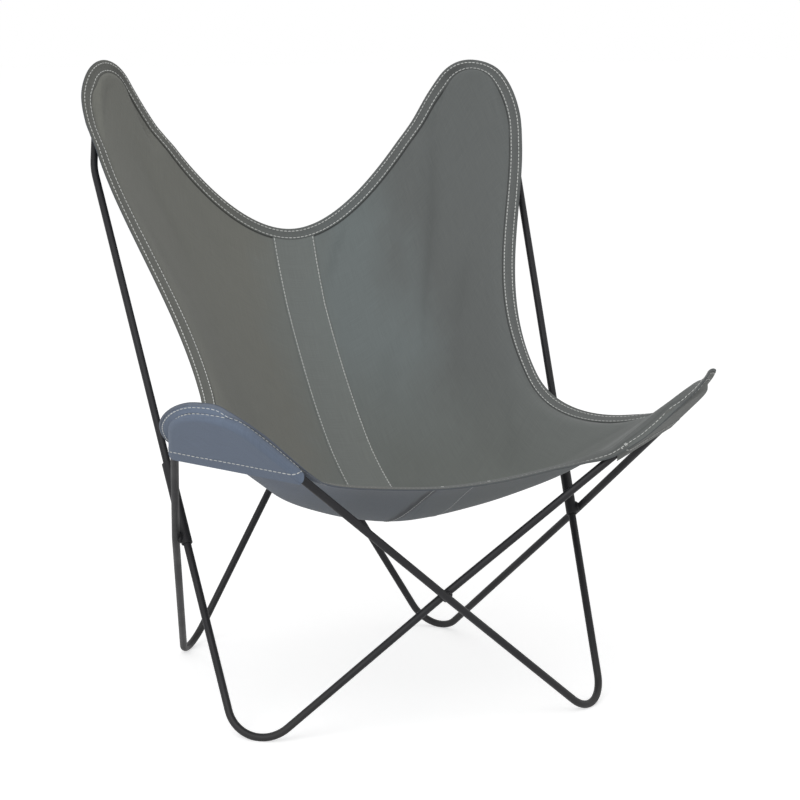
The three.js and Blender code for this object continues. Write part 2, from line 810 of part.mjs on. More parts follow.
function pocketGeometry(sign, surface, edge, horn) {
  const nodes = pocketPlaces(edge).flatMap((place, column) => (
    pocketColumn(surface, place, horn, column / pocketColumns)
  ));
  const deep = nodes.length / (pocketColumns + 1);
  const cells = [];
  for (let column = 0; column < pocketColumns; column += 1) {
    for (let row = 0; row + 1 < deep; row += 1) {
      const cell = column * deep + row;
      cells.push([cell, cell + 1, cell + 1 + deep, cell + deep]);
    }
  }
  const placed = sign > 0 ? nodes : mirroredNodes(nodes);
  const turned = sign * horn.turn < 0 ? cells : flipped(cells);
  return sheetSolid(placed, turned, -pocketThickness / 2, pocketThickness / 2);
}

const backPocketEdge = {
  inner: backEdge, innerReach: backPocketInner, outerReach: backPocketOuter, v: 0,
};
const frontPocketEdge = {
  inner: frontEdge, innerReach: frontPocketInner, outerReach: frontPocketOuter, v: 1,
};

function backHornOf() {
  const outer = { towards: outerKnee, mouth: backMouthOuter };
  const inner = { towards: innerKnee, mouth: backMouthInner };
  return hornOf(backHorn, backHornBend, outer, inner, backLobe.up);
}

function frontHornOf(sign) {
  const outer = { towards: side.onRun, mouth: frontMouthOuter };
  const inner = { towards: bowed(frontCrossing(), sign), mouth: frontMouthInner };
  return hornOf(frontHorn, frontHornBend, outer, inner, frontLobe.up);
}

addHems();
addBand();
for (const [word, sign] of sides) {
  const surface = surfaces[word];
  addPanel(word, sign);
  const back = pocketGeometry(sign, surface, backPocketEdge, backHornOf());
  const front = pocketGeometry(sign, surface, frontPocketEdge, frontHornOf(sign));
  add(`back_pocket_${word}`, back, canvasGrey);
  add(`front_pocket_${word}`, front, canvasGrey);
}

// The origin is on the floor under the middle of the chair's outline
const box = new THREE.Box3().setFromObject(chair);
chair.position.y = -(box.min.y + box.max.y) / 2;

export default chair;
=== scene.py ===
import math

import bpy
import numpy as np
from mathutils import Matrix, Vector


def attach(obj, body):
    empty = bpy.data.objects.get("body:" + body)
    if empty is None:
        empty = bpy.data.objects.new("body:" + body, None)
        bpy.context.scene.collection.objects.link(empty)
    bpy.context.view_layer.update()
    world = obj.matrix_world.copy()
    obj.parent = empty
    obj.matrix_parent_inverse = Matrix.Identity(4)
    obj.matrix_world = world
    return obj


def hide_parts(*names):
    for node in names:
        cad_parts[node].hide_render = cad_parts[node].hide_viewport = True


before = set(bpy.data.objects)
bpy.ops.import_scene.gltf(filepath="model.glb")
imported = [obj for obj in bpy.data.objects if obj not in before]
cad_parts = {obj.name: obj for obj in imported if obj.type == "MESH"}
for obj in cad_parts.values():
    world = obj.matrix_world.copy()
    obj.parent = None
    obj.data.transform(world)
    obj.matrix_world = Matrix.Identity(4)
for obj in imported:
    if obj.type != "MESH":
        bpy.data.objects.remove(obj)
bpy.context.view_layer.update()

print("frame loaded:", len(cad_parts), "nodes")

mm = 0.001
partShift = np.array([0.0, 19.2477, 0.0])  # mm from the curves' origin to the part's


def vec(*numbers):
    return np.array(numbers, float)


def unit(v):
    return v / np.linalg.norm(v, axis=-1, keepdims=True)


def mirrored(p, side):
    return p * vec(side, 1, 1)


def toPart(p):
    return (np.asarray(p) + partShift) * mm


def mix(a, b, share):
    return a * (1 - share) + b * share


def dot(a, b):
    return (a * b).sum(-1)


def smoothStep(low, high, x):
    t = np.clip((x - low) / (high - low), 0, 1)
    return t * t * (3 - 2 * t)


def readTable(table, x):
    return np.interp(x, *np.array(table, float).T)


# Points between those of a line whose run is known
def pointsAt(x, run, line):
    return np.stack([np.interp(x, run, line[:, axis]) for axis in range(3)], -1)


def runAlong(line):
    return np.concatenate([[0], np.cumsum(np.linalg.norm(np.diff(line, axis=0), axis=1))])


def facing(way):
    return Vector(way).to_track_quat("Z", "Y").to_euler()


def deselectAll():
    if bpy.context.mode != "OBJECT":
        bpy.ops.object.mode_set(mode="OBJECT")
    bpy.ops.object.select_all(action="DESELECT")


def pickAlone(piece):
    deselectAll()
    piece.select_set(True)
    bpy.context.view_layer.objects.active = piece


def applyModifier(piece, kind, **settings):
    pickAlone(piece)
    bpy.ops.object.modifier_add(type=kind)
    modifier = piece.modifiers[-1]
    for key, value in settings.items():
        setattr(modifier, key, value)
    bpy.ops.object.modifier_apply(modifier=modifier.name)


def editAll(piece):
    pickAlone(piece)
    bpy.ops.object.mode_set(mode="EDIT")
    bpy.ops.mesh.select_all(action="SELECT")


def faceOutward(piece):
    editAll(piece)
    bpy.ops.mesh.normals_make_consistent(inside=False)
    bpy.ops.object.mode_set(mode="OBJECT")


def smoothShade(piece, degrees):
    pickAlone(piece)
    bpy.ops.object.shade_smooth_by_angle(angle=math.radians(degrees))


def meshPiece(name, points, faces):
    mesh = bpy.data.meshes.new(name)
    mesh.from_pydata(toPart(points.reshape(-1, 3)).tolist(), [], faces)
    piece = bpy.data.objects.new(name, mesh)
    bpy.context.scene.collection.objects.link(piece)
    return piece


def finishPiece(piece, slot, material, *nodes):
    piece.data.materials.clear()
    piece.data.materials.append(material)
    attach(piece, "root")
    if nodes:
        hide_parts(*nodes)


# Shader helpers

def newGroup(name, inputs, outputs):
    tree = bpy.data.node_groups.new(name, "ShaderNodeTree")
    for label, value in inputs.items():
        kind = "NodeSocketVector" if value is None else "NodeSocketFloat"
        socket = tree.interface.new_socket(label, in_out="INPUT", socket_type=kind)
        if value is not None:
            socket.default_value = value
    for label in outputs:
        tree.interface.new_socket(label, in_out="OUTPUT", socket_type="NodeSocketFloat")
    return tree, tree.nodes.new("NodeGroupInput"), tree.nodes.new("NodeGroupOutput")


def newMaterial(name):
    material = bpy.data.materials.new(name)
    material.use_nodes = True
    return material, material.node_tree, material.node_tree.nodes["Principled BSDF"]


def addNode(tree, kind, **settings):
    node = tree.nodes.new(kind)
    for key, value in settings.items():
        setattr(node, key, value)
    return node


# Plain numbers and colours are set on the socket, and anything else is linked to it
def setInputs(tree, node, values):
    for key, value in values.items():
        if isinstance(value, (int, float, tuple)):
            node.inputs[key].default_value = value
        else:
            tree.links.new(value, node.inputs[key])


def math2(tree, operation, *values):
    node = addNode(tree, "ShaderNodeMath", operation=operation)
    setInputs(tree, node, dict(enumerate(values)))
    return node.outputs[0]


def noiseOn(tree, vector, scale, detail, roughness=0.5):
    node = addNode(tree, "ShaderNodeTexNoise")
    setInputs(tree, node, {"Vector": vector, "Scale": scale, "Detail": detail, "Roughness": roughness})
    return node.outputs["Fac"]


def stretched(tree, vector, scale):
    node = addNode(tree, "ShaderNodeMapping", vector_type="POINT")
    setInputs(tree, node, {"Vector": vector, "Scale": scale})
    return node.outputs["Vector"]


def mixColour(tree, share, a, b, blend="MIX"):
    node = addNode(tree, "ShaderNodeMix", data_type="RGBA", blend_type=blend)
    setInputs(tree, node, {0: share, 6: a, 7: b})
    return node.outputs[2]


def remap(tree, value, low, high, newLow, newHigh):
    node = addNode(tree, "ShaderNodeMapRange")
    setInputs(tree, node, dict(enumerate((value, low, high, newLow, newHigh))))
    return node.outputs["Result"]


def bumpOn(tree, height, strength, depth):
    node = addNode(tree, "ShaderNodeBump")
    setInputs(tree, node, {"Height": height, "Strength": strength, "Distance": depth})
    return node.outputs["Normal"]


def splitXYZ(tree, vector):
    node = addNode(tree, "ShaderNodeSeparateXYZ")
    setInputs(tree, node, {0: vector})
    return node.outputs


def ownPlace(tree):
    return addNode(tree, "ShaderNodeTexCoord").outputs["Object"]


noiseMiddle = (0.3, 0.7)  # the part of a noise that is spread over a mask
coatLook = {
    "black": (0.013, 0.013, 0.015, 1),
    "dusty": (0.040, 0.039, 0.038, 1),
    "dustTop": 0.09,
    "rough": (0.42, 0.60),
    "specular": 0.28,
    "peel": 0.10,
    "peelDepth": 0.0004,
    "clouds": 14.0,
    "grain": {"rod": 900.0, "sleeve": 700.0},
}


# Powder coat: fine orange peel, cloudy gloss and a little dust
def makePowderCoat():
    tree, inside, out = newGroup(
        "powderCoat", {"Grain Scale": coatLook["grain"]["rod"], "Cloud Scale": coatLook["clouds"]},
        ("Height", "Gloss Mask", "Dust"))
    place = ownPlace(tree)
    grain = noiseOn(tree, place, inside.outputs["Grain Scale"], 2)
    cloud = noiseOn(tree, place, inside.outputs["Cloud Scale"], 4)
    low = remap(tree, splitXYZ(tree, place)["Z"], 0.0, coatLook["dustTop"], 1.0, 0.0)
    dust = math2(tree, "MULTIPLY", low, cloud)
    setInputs(tree, out, {"Height": grain, "Gloss Mask": cloud, "Dust": dust})
    return tree


def makeCoatMaterial(name, group, grainScale):
    material, tree, shader = newMaterial(name)
    coat = addNode(tree, "ShaderNodeGroup", node_tree=group)
    setInputs(tree, coat, {"Grain Scale": grainScale})
    setInputs(tree, shader, {
        "Base Color": mixColour(tree, coat.outputs["Dust"], coatLook["black"], coatLook["dusty"]),
        "Roughness": remap(tree, coat.outputs["Gloss Mask"], *noiseMiddle, *coatLook["rough"]),
        "Normal": bumpOn(tree, coat.outputs["Height"], coatLook["peel"], coatLook["peelDepth"]),
        "Specular IOR Level": coatLook["specular"],
    })
    return material


# Plain weave canvas, read from the cloth's own thread map in metres
weaveLook = {
    "slubs": ((900, 22, 1), (22, 900, 1)),
    "lumps": (160, 120, 1),
    "clouds": (7, 5, 1),
    "cloudRough": 0.55,
    "threadHigh": 0.45,
}


def makeWeave():
    tree, inside, out = newGroup(
        "canvasWeave", {"Cloth": None, "Threads": canvasLook["threads"]}, ("Height", "Thread Tone", "Cloud"))
    cloth = inside.outputs["Cloth"]
    parts = splitXYZ(tree, cloth)
    waves = []
    for axis in ("X", "Y"):
        turns = math2(tree, "MULTIPLY", parts[axis], inside.outputs["Threads"])
        waves.append(math2(tree, "SINE", math2(tree, "MULTIPLY", turns, math.pi)))
    over = math2(tree, "GREATER_THAN", math2(tree, "MULTIPLY", *waves), 0.0)
    under = math2(tree, "SUBTRACT", 1.0, over)
    shown = [
        math2(tree, "MULTIPLY", math2(tree, "ABSOLUTE", wave), where)
        for wave, where in zip(waves, (over, under))]
    threads = math2(tree, "MULTIPLY", math2(tree, "ADD", *shown), weaveLook["threadHigh"])
    slubs = [noiseOn(tree, stretched(tree, cloth, scale), 1.0, 2) for scale in weaveLook["slubs"]]
    slub = math2(tree, "MULTIPLY", math2(tree, "ADD", *slubs), 0.5)
    lumps = noiseOn(tree, stretched(tree, cloth, weaveLook["lumps"]), 1.0, 3)
    height = math2(tree, "ADD", math2(tree, "ADD", threads, slub), lumps)
    cloud = noiseOn(tree, stretched(tree, cloth, weaveLook["clouds"]), 1.0, 4, weaveLook["cloudRough"])
    setInputs(tree, out, {"Height": height, "Thread Tone": slub, "Cloud": cloud})
    return tree


# Canvas tones by place, partly painted light: a painted reflection turns the cloth from warm on the left to cool
# and bluish to the right, painted shade greys it farther right, it takes a seat tone lower down on the cool
# side, and the pockets' bluer copies of these tones and the front left lobe's blue are painted reflection
canvasLook = {
    "panel": {
        "warm": (0.157, 0.160, 0.143, 1), "cool": (0.151, 0.172, 0.172, 1), "grey": (0.124, 0.133, 0.131, 1),
        "seat": (0.136, 0.147, 0.138, 1),
    },
    "hem": {
        "warm": (0.120, 0.123, 0.113, 1), "cool": (0.126, 0.138, 0.138, 1), "grey": (0.116, 0.123, 0.121, 1),
        "seat": (0.116, 0.123, 0.119, 1),
    },
    "band": {
        "warm": (0.160, 0.171, 0.163, 1), "cool": (0.160, 0.177, 0.172, 1), "grey": (0.160, 0.171, 0.166, 1),
        "seat": (0.164, 0.174, 0.163, 1),
    },
    "pocket": {
        "warm": (0.130, 0.142, 0.152, 1), "cool": (0.138, 0.150, 0.156, 1), "grey": (0.132, 0.138, 0.132, 1),
        "seat": (0.132, 0.138, 0.132, 1), "lobe": (0.126, 0.158, 0.216, 1),
    },
    # The underside is a darker copy of the canvas, painted shade, bluish on the left and bluest under the front
    # left lobe as a painted reflection, and greyer right of the middle
    "under": (0.112, 0.127, 0.145, 1),
    "underGrey": (0.124, 0.136, 0.140, 1),
    "underBlue": (0.132, 0.154, 0.194, 1),
    "coolFrom": (-0.10, 0.05),
    "greyFrom": (0.10, 0.19),
    "seatFrom": (0.47, 0.32),
    "underGreyFrom": (-0.03, 0.07),
    "lobeFrom": {"X": (-0.10, -0.22), "Y": (-0.10, -0.26)},  # where the front left lobe turns bluer
    "cloudMiddle": (0.25, 0.75),
    "cloudShift": (-0.05, 0.05),
    "paintedShadeDepth": 0.62,
    "threadTone": (0.88, 1.1),
    "rough": (0.82, 0.95),
    "specular": 0.2,
    "sheen": 0.12,
    "sheenRough": 0.6,
    "weaveStrength": 0.22,
    "weaveDepth": 0.0005,
    "threads": 950.0,
}


def makeCanvas(name, tones, weave):
    material, tree, shader = newMaterial(name)
    group = addNode(tree, "ShaderNodeGroup", node_tree=weave)
    cloth = addNode(tree, "ShaderNodeUVMap", uv_map="threads").outputs["UV"]
    setInputs(tree, group, {"Threads": canvasLook["threads"], "Cloth": cloth})
    place = splitXYZ(tree, ownPlace(tree))
    cloud = remap(tree, group.outputs["Cloud"], *canvasLook["cloudMiddle"], *canvasLook["cloudShift"])
    across = math2(tree, "ADD", place["X"], cloud)

    def shareOf(value, span):
        return remap(tree, value, *span, 0.0, 1.0)

    cool, grey, right = (shareOf(across, canvasLook[key]) for key in ("coolFrom", "greyFrom", "underGreyFrom"))
    low = shareOf(place["Z"], canvasLook["seatFrom"])
    lobe = math2(tree, "MULTIPLY", *(
        shareOf(place[axis], span) for axis, span in canvasLook["lobeFrom"].items()))
    colour = mixColour(tree, cool, tones["warm"], tones["cool"])
    colour = mixColour(tree, grey, colour, tones["grey"])
    colour = mixColour(tree, math2(tree, "MULTIPLY", cool, low), colour, tones["seat"])
    if "lobe" in tones:
        colour = mixColour(tree, lobe, colour, tones["lobe"])
    # Painted shade and reflection: the underside takes its darker, bluish tones
    beneath = mixColour(tree, right, canvasLook["under"], canvasLook["underGrey"])
    beneath = mixColour(tree, lobe, beneath, canvasLook["underBlue"])
    under, paintedShadeMark = (
        addNode(tree, "ShaderNodeAttribute", attribute_name=mark).outputs["Fac"]
        for mark in ("underside", "paintedShadeMark"))
    colour = mixColour(tree, under, colour, beneath)
    # Painted shade: the marked creases, seam lines and hem recesses darken the base colour
    paintedShade = remap(tree, paintedShadeMark, 0.0, 1.0, 1.0, 1.0 - canvasLook["paintedShadeDepth"])
    tone = remap(tree, group.outputs["Thread Tone"], *noiseMiddle, *canvasLook["threadTone"])
    tone = math2(tree, "MULTIPLY", tone, paintedShade)
    shade = addNode(tree, "ShaderNodeCombineColor")
    setInputs(tree, shade, {spot: tone for spot in range(3)})
    setInputs(tree, shader, {
        "Base Color": mixColour(tree, 1.0, colour, shade.outputs[0], "MULTIPLY"),
        "Roughness": remap(tree, group.outputs["Thread Tone"], *noiseMiddle, *canvasLook["rough"]),
        "Normal": bumpOn(tree, group.outputs["Height"], canvasLook["weaveStrength"], canvasLook["weaveDepth"]),
        "Specular IOR Level": canvasLook["specular"],
        "Sheen Weight": canvasLook["sheen"],
        "Sheen Roughness": canvasLook["sheenRough"],
    })
    return material


# The under thread is a darker copy of the top thread, painted shade
threadLook = {
    "top": {"pale": (0.62, 0.63, 0.61, 1), "dull": (0.44, 0.45, 0.44, 1)},
    "under": {"pale": (0.42, 0.43, 0.43, 1), "dull": (0.32, 0.33, 0.33, 1)},
    "patches": 60.0,
    "dullest": 0.8,
    "rough": (0.6, 0.85),
    "twist": 1400.0,
    "plyStrength": 0.3,
    "plyDepth": 0.0002,
}


def makeThread(name, tones):
    material, tree, shader = newMaterial(name)
    place = ownPlace(tree)
    patch = noiseOn(tree, place, threadLook["patches"], 3)
    ply = noiseOn(tree, place, threadLook["twist"], 1)
    share = remap(tree, patch, *noiseMiddle, 0.0, threadLook["dullest"])
    setInputs(tree, shader, {
        "Base Color": mixColour(tree, share, tones["pale"], tones["dull"]),
        "Roughness": remap(tree, ply, *noiseMiddle, *threadLook["rough"]),
        "Normal": bumpOn(tree, ply, threadLook["plyStrength"], threadLook["plyDepth"]),
    })
    return material


powderCoat, weave = makePowderCoat(), makeWeave()
rodCoat, sleeveCoat = (
    makeCoatMaterial(key + "Coat", powderCoat, coatLook["grain"][key]) for key in ("rod", "sleeve"))
canvasFinish = {
    key: makeCanvas(key + "Canvas", canvasLook[key], weave) for key in ("panel", "hem", "band", "pocket")}
topThread, underThread = (makeThread(key + "Thread", threadLook[key]) for key in ("top", "under"))
print("materials made:", len(canvasFinish) + 4)


# Rod frame: corner points in mm for the right side, x outward
rodFrame = {
    "diameter": 11.0,
    "sides": 28,
    "stepAngle": 0.1,
    "gap": 0.3,
    "frontHorn": vec(405, -429, 540),
    "frontHornBend": 65.0,
    "backHorn": vec(306, 354, 956),
    "backHornBend": 36.0,
    "outerKnee": vec(341, 255, 750),
    "innerKnee": vec(218, 350, 700),
    "kneeBend": 100.0,
    "frontFoot": vec(272, -264, 0),
    "frontFootBend": 54.0,
    "backFoot": vec(209, 264, 0),
    "backFootBend": 47.0,
    "footHeight": 4.9126,
    "crossingBend": 500.0,
    "sleeveDiameter": 16.0,
    "sleeveLength": 125.0,
    "sleeveBelowCrossing": 12.0,
    "rearSleeveAboveCrossing": 60.0,
    "settleRounds": 12,
    "joinGap": 0.00001,
    "smoothAngle": 40,
}
rodRadius = rodFrame["diameter"] / 2


def bendAt(before, corner, after, radius):
    first, second = unit(before - corner), unit(after - corner)
    half = math.acos(float(np.clip(dot(first, second), -1, 1))) / 2
    inward = unit(first + second)
    return {
        "centre": corner + inward * radius / math.sin(half),
        "outward": -inward,
        "across": unit(second - first),
        "sweep": math.pi / 2 - half,
        "radius": radius,
    }


def bendPoint(bend, angle):
    angle = np.asarray(angle, float)[..., None]
    around = bend["outward"] * np.cos(angle) + bend["across"] * np.sin(angle)
    return bend["centre"] + bend["radius"] * around


def bendWay(bend, angle):
    return bend["across"] * math.cos(angle) - bend["outward"] * math.sin(angle)


def middleCrossing(start, end):
    at = mix(start, end, start[0] / (start[0] - end[0]))
    slope = (end - start) * vec(0, 1, 1)
    return at, unit(np.cross(vec(1, 0, 0), slope))


def frontCrossing():
    return middleCrossing(mirrored(rodFrame["frontHorn"], -1), rodFrame["frontFoot"])


def rearCrossing():
    return middleCrossing(mirrored(rodFrame["backFoot"], -1), rodFrame["innerKnee"])


def sideCrossing():
    leg = unit(rodFrame["outerKnee"] - rodFrame["frontFoot"])
    run = unit(rodFrame["backFoot"] - rodFrame["frontHorn"])
    outward = unit(np.cross(leg, run))
    outward = outward * np.sign(outward[0])
    between = rodFrame["frontHorn"] - rodFrame["frontFoot"]
    lean = dot(leg, run)
    distance = (dot(between, leg) - dot(between, run) * lean) / (1 - lean * lean)
    onLeg = rodFrame["frontFoot"] + leg * distance
    reach = rodFrame["sleeveDiameter"] / 2 + rodFrame["gap"] + rodRadius
    return {"onLeg": onLeg, "onRun": onLeg + outward * reach, "leg": leg, "outward": outward}


def settle(foot, bend, before, after):
    arc = bendAt(before, foot, after, bend)
    lowest = arc["centre"][2] - bend * math.hypot(arc["outward"][2], arc["across"][2])
    return foot + vec(0, 0, rodFrame["footHeight"] - lowest)


for turn in range(rodFrame["settleRounds"]):
    rodFrame["frontFoot"] = settle(
        rodFrame["frontFoot"], rodFrame["frontFootBend"], rodFrame["outerKnee"], frontCrossing()[0])
    rodFrame["backFoot"] = settle(
        rodFrame["backFoot"], rodFrame["backFootBend"], sideCrossing()["onRun"], rearCrossing()[0])


def settled(foot, bend, before, after):
    for turn in range(rodFrame["settleRounds"]):
        foot = settle(foot, bend, before, after)
    return foot


crossSide = sideCrossing()
sleeveMiddle = crossSide["onLeg"] + crossSide["leg"] * (
    rodFrame["sleeveLength"] / 2 - rodFrame["sleeveBelowCrossing"])


def bowed(crossing, side):
    return crossing[0] + crossing[1] * side * (rodRadius + rodFrame["gap"] / 2)


def rearSleevePlace(side):
    start = bowed(rearCrossing(), side)
    way = unit(mirrored(rodFrame["innerKnee"], -side) - start)
    return start, way, start + way * (rodFrame["rearSleeveAboveCrossing"] + rodFrame["sleeveLength"] / 2)


def frontHornRoute(side):
    rearStart, rearWay, rearMiddle = rearSleevePlace(side)
    half = rodFrame["gap"] / 2
    start = mirrored(sleeveMiddle - crossSide["leg"] * half, -side)
    front = bowed(frontCrossing(), side)
    past = mirrored(crossSide["onRun"], side)
    frontFoot = settled(mirrored(rodFrame["frontFoot"], -side), rodFrame["frontFootBend"], start, front)
    backFoot = settled(mirrored(rodFrame["backFoot"], side), rodFrame["backFootBend"], past, rearStart)
    stops = [start, frontFoot, front, mirrored(rodFrame["frontHorn"], side), past, backFoot, rearStart]
    stops.append(rearMiddle - rearWay * half)
    bends = [rodFrame[key] for key in (
        "frontFootBend", "crossingBend", "frontHornBend", "crossingBend", "backFootBend", "crossingBend")]
    return stops, bends


def backHornRoute(side):
    rearStart, rearWay, rearMiddle = rearSleevePlace(-side)
    half = rodFrame["gap"] / 2
    start = mirrored(sleeveMiddle + crossSide["leg"] * half, side)
    stops = [start] + [mirrored(rodFrame[key], side) for key in ("outerKnee", "backHorn", "innerKnee")]
    stops.append(rearMiddle + rearWay * half)
    return stops, [rodFrame["kneeBend"], rodFrame["backHornBend"], rodFrame["kneeBend"]]


def bentRod(name, stops, bends):
    deselectAll()
    bpy.ops.mesh.primitive_circle_add(
        vertices=rodFrame["sides"], radius=rodRadius * mm, location=toPart(stops[0]),
        rotation=facing(unit(stops[1] - stops[0])))
    rod = bpy.context.object
    rod.name = name
    bpy.ops.object.transform_apply(location=True, rotation=True, scale=True)
    bpy.ops.object.mode_set(mode="EDIT")
    bpy.ops.mesh.select_all(action="SELECT")
    here = stops[0]
    for index, radius in enumerate(bends):
        arc = bendAt(stops[index], stops[index + 1], stops[index + 2], radius)
        first = bendPoint(arc, -arc["sweep"])
        bpy.ops.mesh.extrude_region_move(TRANSFORM_OT_translate={"value": tuple((first - here) * mm)})
        steps = max(2, math.ceil(2 * arc["sweep"] / rodFrame["stepAngle"]))
        axis = np.cross(arc["outward"], arc["across"])
        bpy.ops.mesh.spin(
            steps=steps, angle=-2 * arc["sweep"], center=tuple(toPart(arc["centre"])), axis=tuple(axis))
        here = bendPoint(arc, arc["sweep"])
    bpy.ops.mesh.extrude_region_move(TRANSFORM_OT_translate={"value": tuple((stops[-1] - here) * mm)})
    bpy.ops.mesh.select_all(action="SELECT")
    bpy.ops.mesh.remove_doubles(threshold=rodFrame["joinGap"])
    bpy.ops.mesh.fill_holes(sides=0)
    faceOutward(rod)
    return rod


# The bends that stand on the floor are pressed a little flat there
def flattenFeet(rod):
    editAll(rod)
    bpy.ops.mesh.bisect(plane_co=(0, 0, 0), plane_no=(0, 0, 1), use_fill=True, clear_inner=True)
    bpy.ops.object.mode_set(mode="OBJECT")


sides = (("Left", -1), ("Right", 1))
rods = {}
for word, side in sides:
    for horn, route in (("front", frontHornRoute), ("back", backHornRoute)):
        rod = bentRod(horn + "HornRod" + word, *route(side))
        if horn == "front":
            flattenFeet(rod)
        smoothShade(rod, rodFrame["smoothAngle"])
        finishPiece(rod, "rod", rodCoat, horn + "_horn_rod_" + word.lower())
        rods[horn, side] = rod
print("rods bent:", len(rods))


# Sleeves: tubes pushed over the rod ends, with rounded mouths
sleeveLook = {"vertices": 40, "rim": 0.7, "rimSegments": 3, "rimAngle": 60}


def pushSleeve(name, middle, way):
    deselectAll()
    bpy.ops.mesh.primitive_cylinder_add(
        vertices=sleeveLook["vertices"], radius=rodFrame["sleeveDiameter"] / 2 * mm,
        depth=rodFrame["sleeveLength"] * mm, end_fill_type="NOTHING", location=toPart(middle),
        rotation=facing(way))
    sleeve = bpy.context.object
    sleeve.name = name
    bpy.ops.object.transform_apply(location=True, rotation=True, scale=True)
    wall = rodFrame["sleeveDiameter"] / 2 - rodRadius - rodFrame["gap"]
    applyModifier(sleeve, "SOLIDIFY", thickness=wall * mm, offset=-1)
    applyModifier(
        sleeve, "BEVEL", width=sleeveLook["rim"] * mm, segments=sleeveLook["rimSegments"],
        limit_method="ANGLE", angle_limit=math.radians(sleeveLook["rimAngle"]))
    smoothShade(sleeve, rodFrame["smoothAngle"])
    return sleeve


for word, side in sides:
    sleeve = pushSleeve("sideSleeve" + word, mirrored(sleeveMiddle, side), mirrored(crossSide["leg"], side))
    finishPiece(sleeve, "rod", sleeveCoat, "side_sleeve_" + word.lower())
    rearStart, rearWay, rearMiddle = rearSleevePlace(side)
    sleeve = pushSleeve("rearSleeve" + word, rearMiddle, rearWay)
    finishPiece(sleeve, "rod", sleeveCoat, "rear_sleeve_" + word.lower())
print("sleeves pushed on: 4")


# Weld beads: a ring round each touching point, with the ripple of the weld, cut by what it joins
beadLook = {
    "radius": 5.5, "thickness": 6.4, "ripples": 9, "rippleDepth": 0.35, "rounds": 48, "across": 16,
    "smoothAngle": 50,
}


def weldBead(name, node, centre, square, cutters):
    deselectAll()
    bpy.ops.mesh.primitive_torus_add(
        major_radius=beadLook["radius"] * mm, minor_radius=beadLook["thickness"] / 2 * mm,
        major_segments=beadLook["rounds"], minor_segments=beadLook["across"],
        location=toPart(centre), rotation=facing(square))
    bead = bpy.context.object
    bead.name = name
    for vertex in bead.data.vertices:
        angle = math.atan2(vertex.co.y, vertex.co.x)
        ring = Vector((math.cos(angle), math.sin(angle), 0)) * beadLook["radius"] * mm
        away = (vertex.co - ring).normalized()
        vertex.co += away * math.cos(beadLook["ripples"] * angle) * beadLook["rippleDepth"] * mm
    bpy.ops.object.transform_apply(location=True, rotation=True, scale=True)
    for cutter in cutters:
        applyModifier(bead, "BOOLEAN", operation="DIFFERENCE", object=cutter, solver="EXACT")
    smoothShade(bead, beadLook["smoothAngle"])
    finishPiece(bead, "rod", rodCoat, node)


frontRods = [rods["front", -1], rods["front", 1]]
weldBead("frontCrossBead", "front_cross_weld", *frontCrossing(), frontRods)
weldBead("rearCrossBead", "rear_cross_weld", *rearCrossing(), frontRods)
for word, side in sides:
    touch = crossSide["onLeg"] + crossSide["outward"] * (rodFrame["sleeveDiameter"] + rodFrame["gap"]) / 2
    sleeve = bpy.data.objects["sideSleeve" + word]
    weldBead(
        "sideBead" + word, "side_weld_" + word.lower(), mirrored(touch, side),
        mirrored(crossSide["outward"], side), [sleeve, rods["front", side]])
print("weld beads laid: 4")


# Sling outline in mm, right half: round lobes about the horns, joined by long curves
slingCut = {
    "lift": 7.8,
    "backLobeMargin": 26.8,
    "frontLobeMargin": 25.0,
    "backLobeSweeps": (0.985, -0.958),
    "frontLobeSweeps": (0.199, -1.325),
    "backMiddle": vec(0, 359, 638.5),
    "backPulls": (410, 268),
    "waist": vec(260, -29, 447),
    "waistSlope": 0.637,
    "waistFlare": 0.035,
    "sidePulls": (470, 746, 370, 195),
    "restDistance": 232.0,
    "restOverhang": 7.9,
    "frontPulls": (106, 106, 128, 249),
    "frontMiddle": vec(0, -351, 351),
    "seatLow": vec(0, -120, 265),
    "centreLean": 0.481,
    "centreRise": 0.064,
    "centrePulls": (333, 514, 290, 283),
    "sagPower": 1.0,
    "thickness": 1.4,
}
lineSteps = {"arc": 200, "curve": 600, "rod": 160}


def lobeAt(before, corner, after, bend, margin, upward):
    lobe = bendAt(before, corner, after, bend)
    up = np.cross(lobe["outward"], lobe["across"])
    lobe["up"] = up * np.sign(dot(up, upward))
    lobe["centre"] = lobe["centre"] + lobe["up"] * slingCut["lift"]
    lobe["radius"] += margin
    return lobe


def arcLine(lobe, start, end):
    return bendPoint(lobe, np.linspace(start, end, lineSteps["arc"]))


def pulledLine(start, startWay, startPull, end, endWay, endPull):
    t = np.linspace(0, 1, lineSteps["curve"])[:, None]
    leave, reach = start + startWay * startPull / 3, end - endWay * endPull / 3
    near = start * (1 - t) ** 3 + leave * 3 * t * (1 - t) ** 2
    return near + reach * 3 * t * t * (1 - t) + end * t ** 3


def joinLines(*lines):
    at = np.concatenate([lines[0]] + [line[1:] for line in lines[1:]])
    run = runAlong(at)
    return {"at": at, "share": run / run[-1], "length": run[-1]}


def onLine(line, share):
    return pointsAt(share, line["share"], line["at"])


inwardX = vec(-1, 0, 0)
frontRun = frontCrossing()[0]
backLobe = lobeAt(
    rodFrame["outerKnee"], rodFrame["backHorn"], rodFrame["innerKnee"],
    rodFrame["backHornBend"], slingCut["backLobeMargin"], vec(0, -1, 0))
frontLobe = lobeAt(
    crossSide["onRun"], rodFrame["frontHorn"], frontRun,
    rodFrame["frontHornBend"], slingCut["frontLobeMargin"], vec(0, 0, 1))


def makeBackEdge():
    sweep = slingCut["backLobeSweeps"][0]
    leave, reach = slingCut["backPulls"]
    curve = pulledLine(
        bendPoint(backLobe, sweep), bendWay(backLobe, sweep), leave, slingCut["backMiddle"], inwardX, reach)
    return joinLines(arcLine(backLobe, 0, sweep), curve)


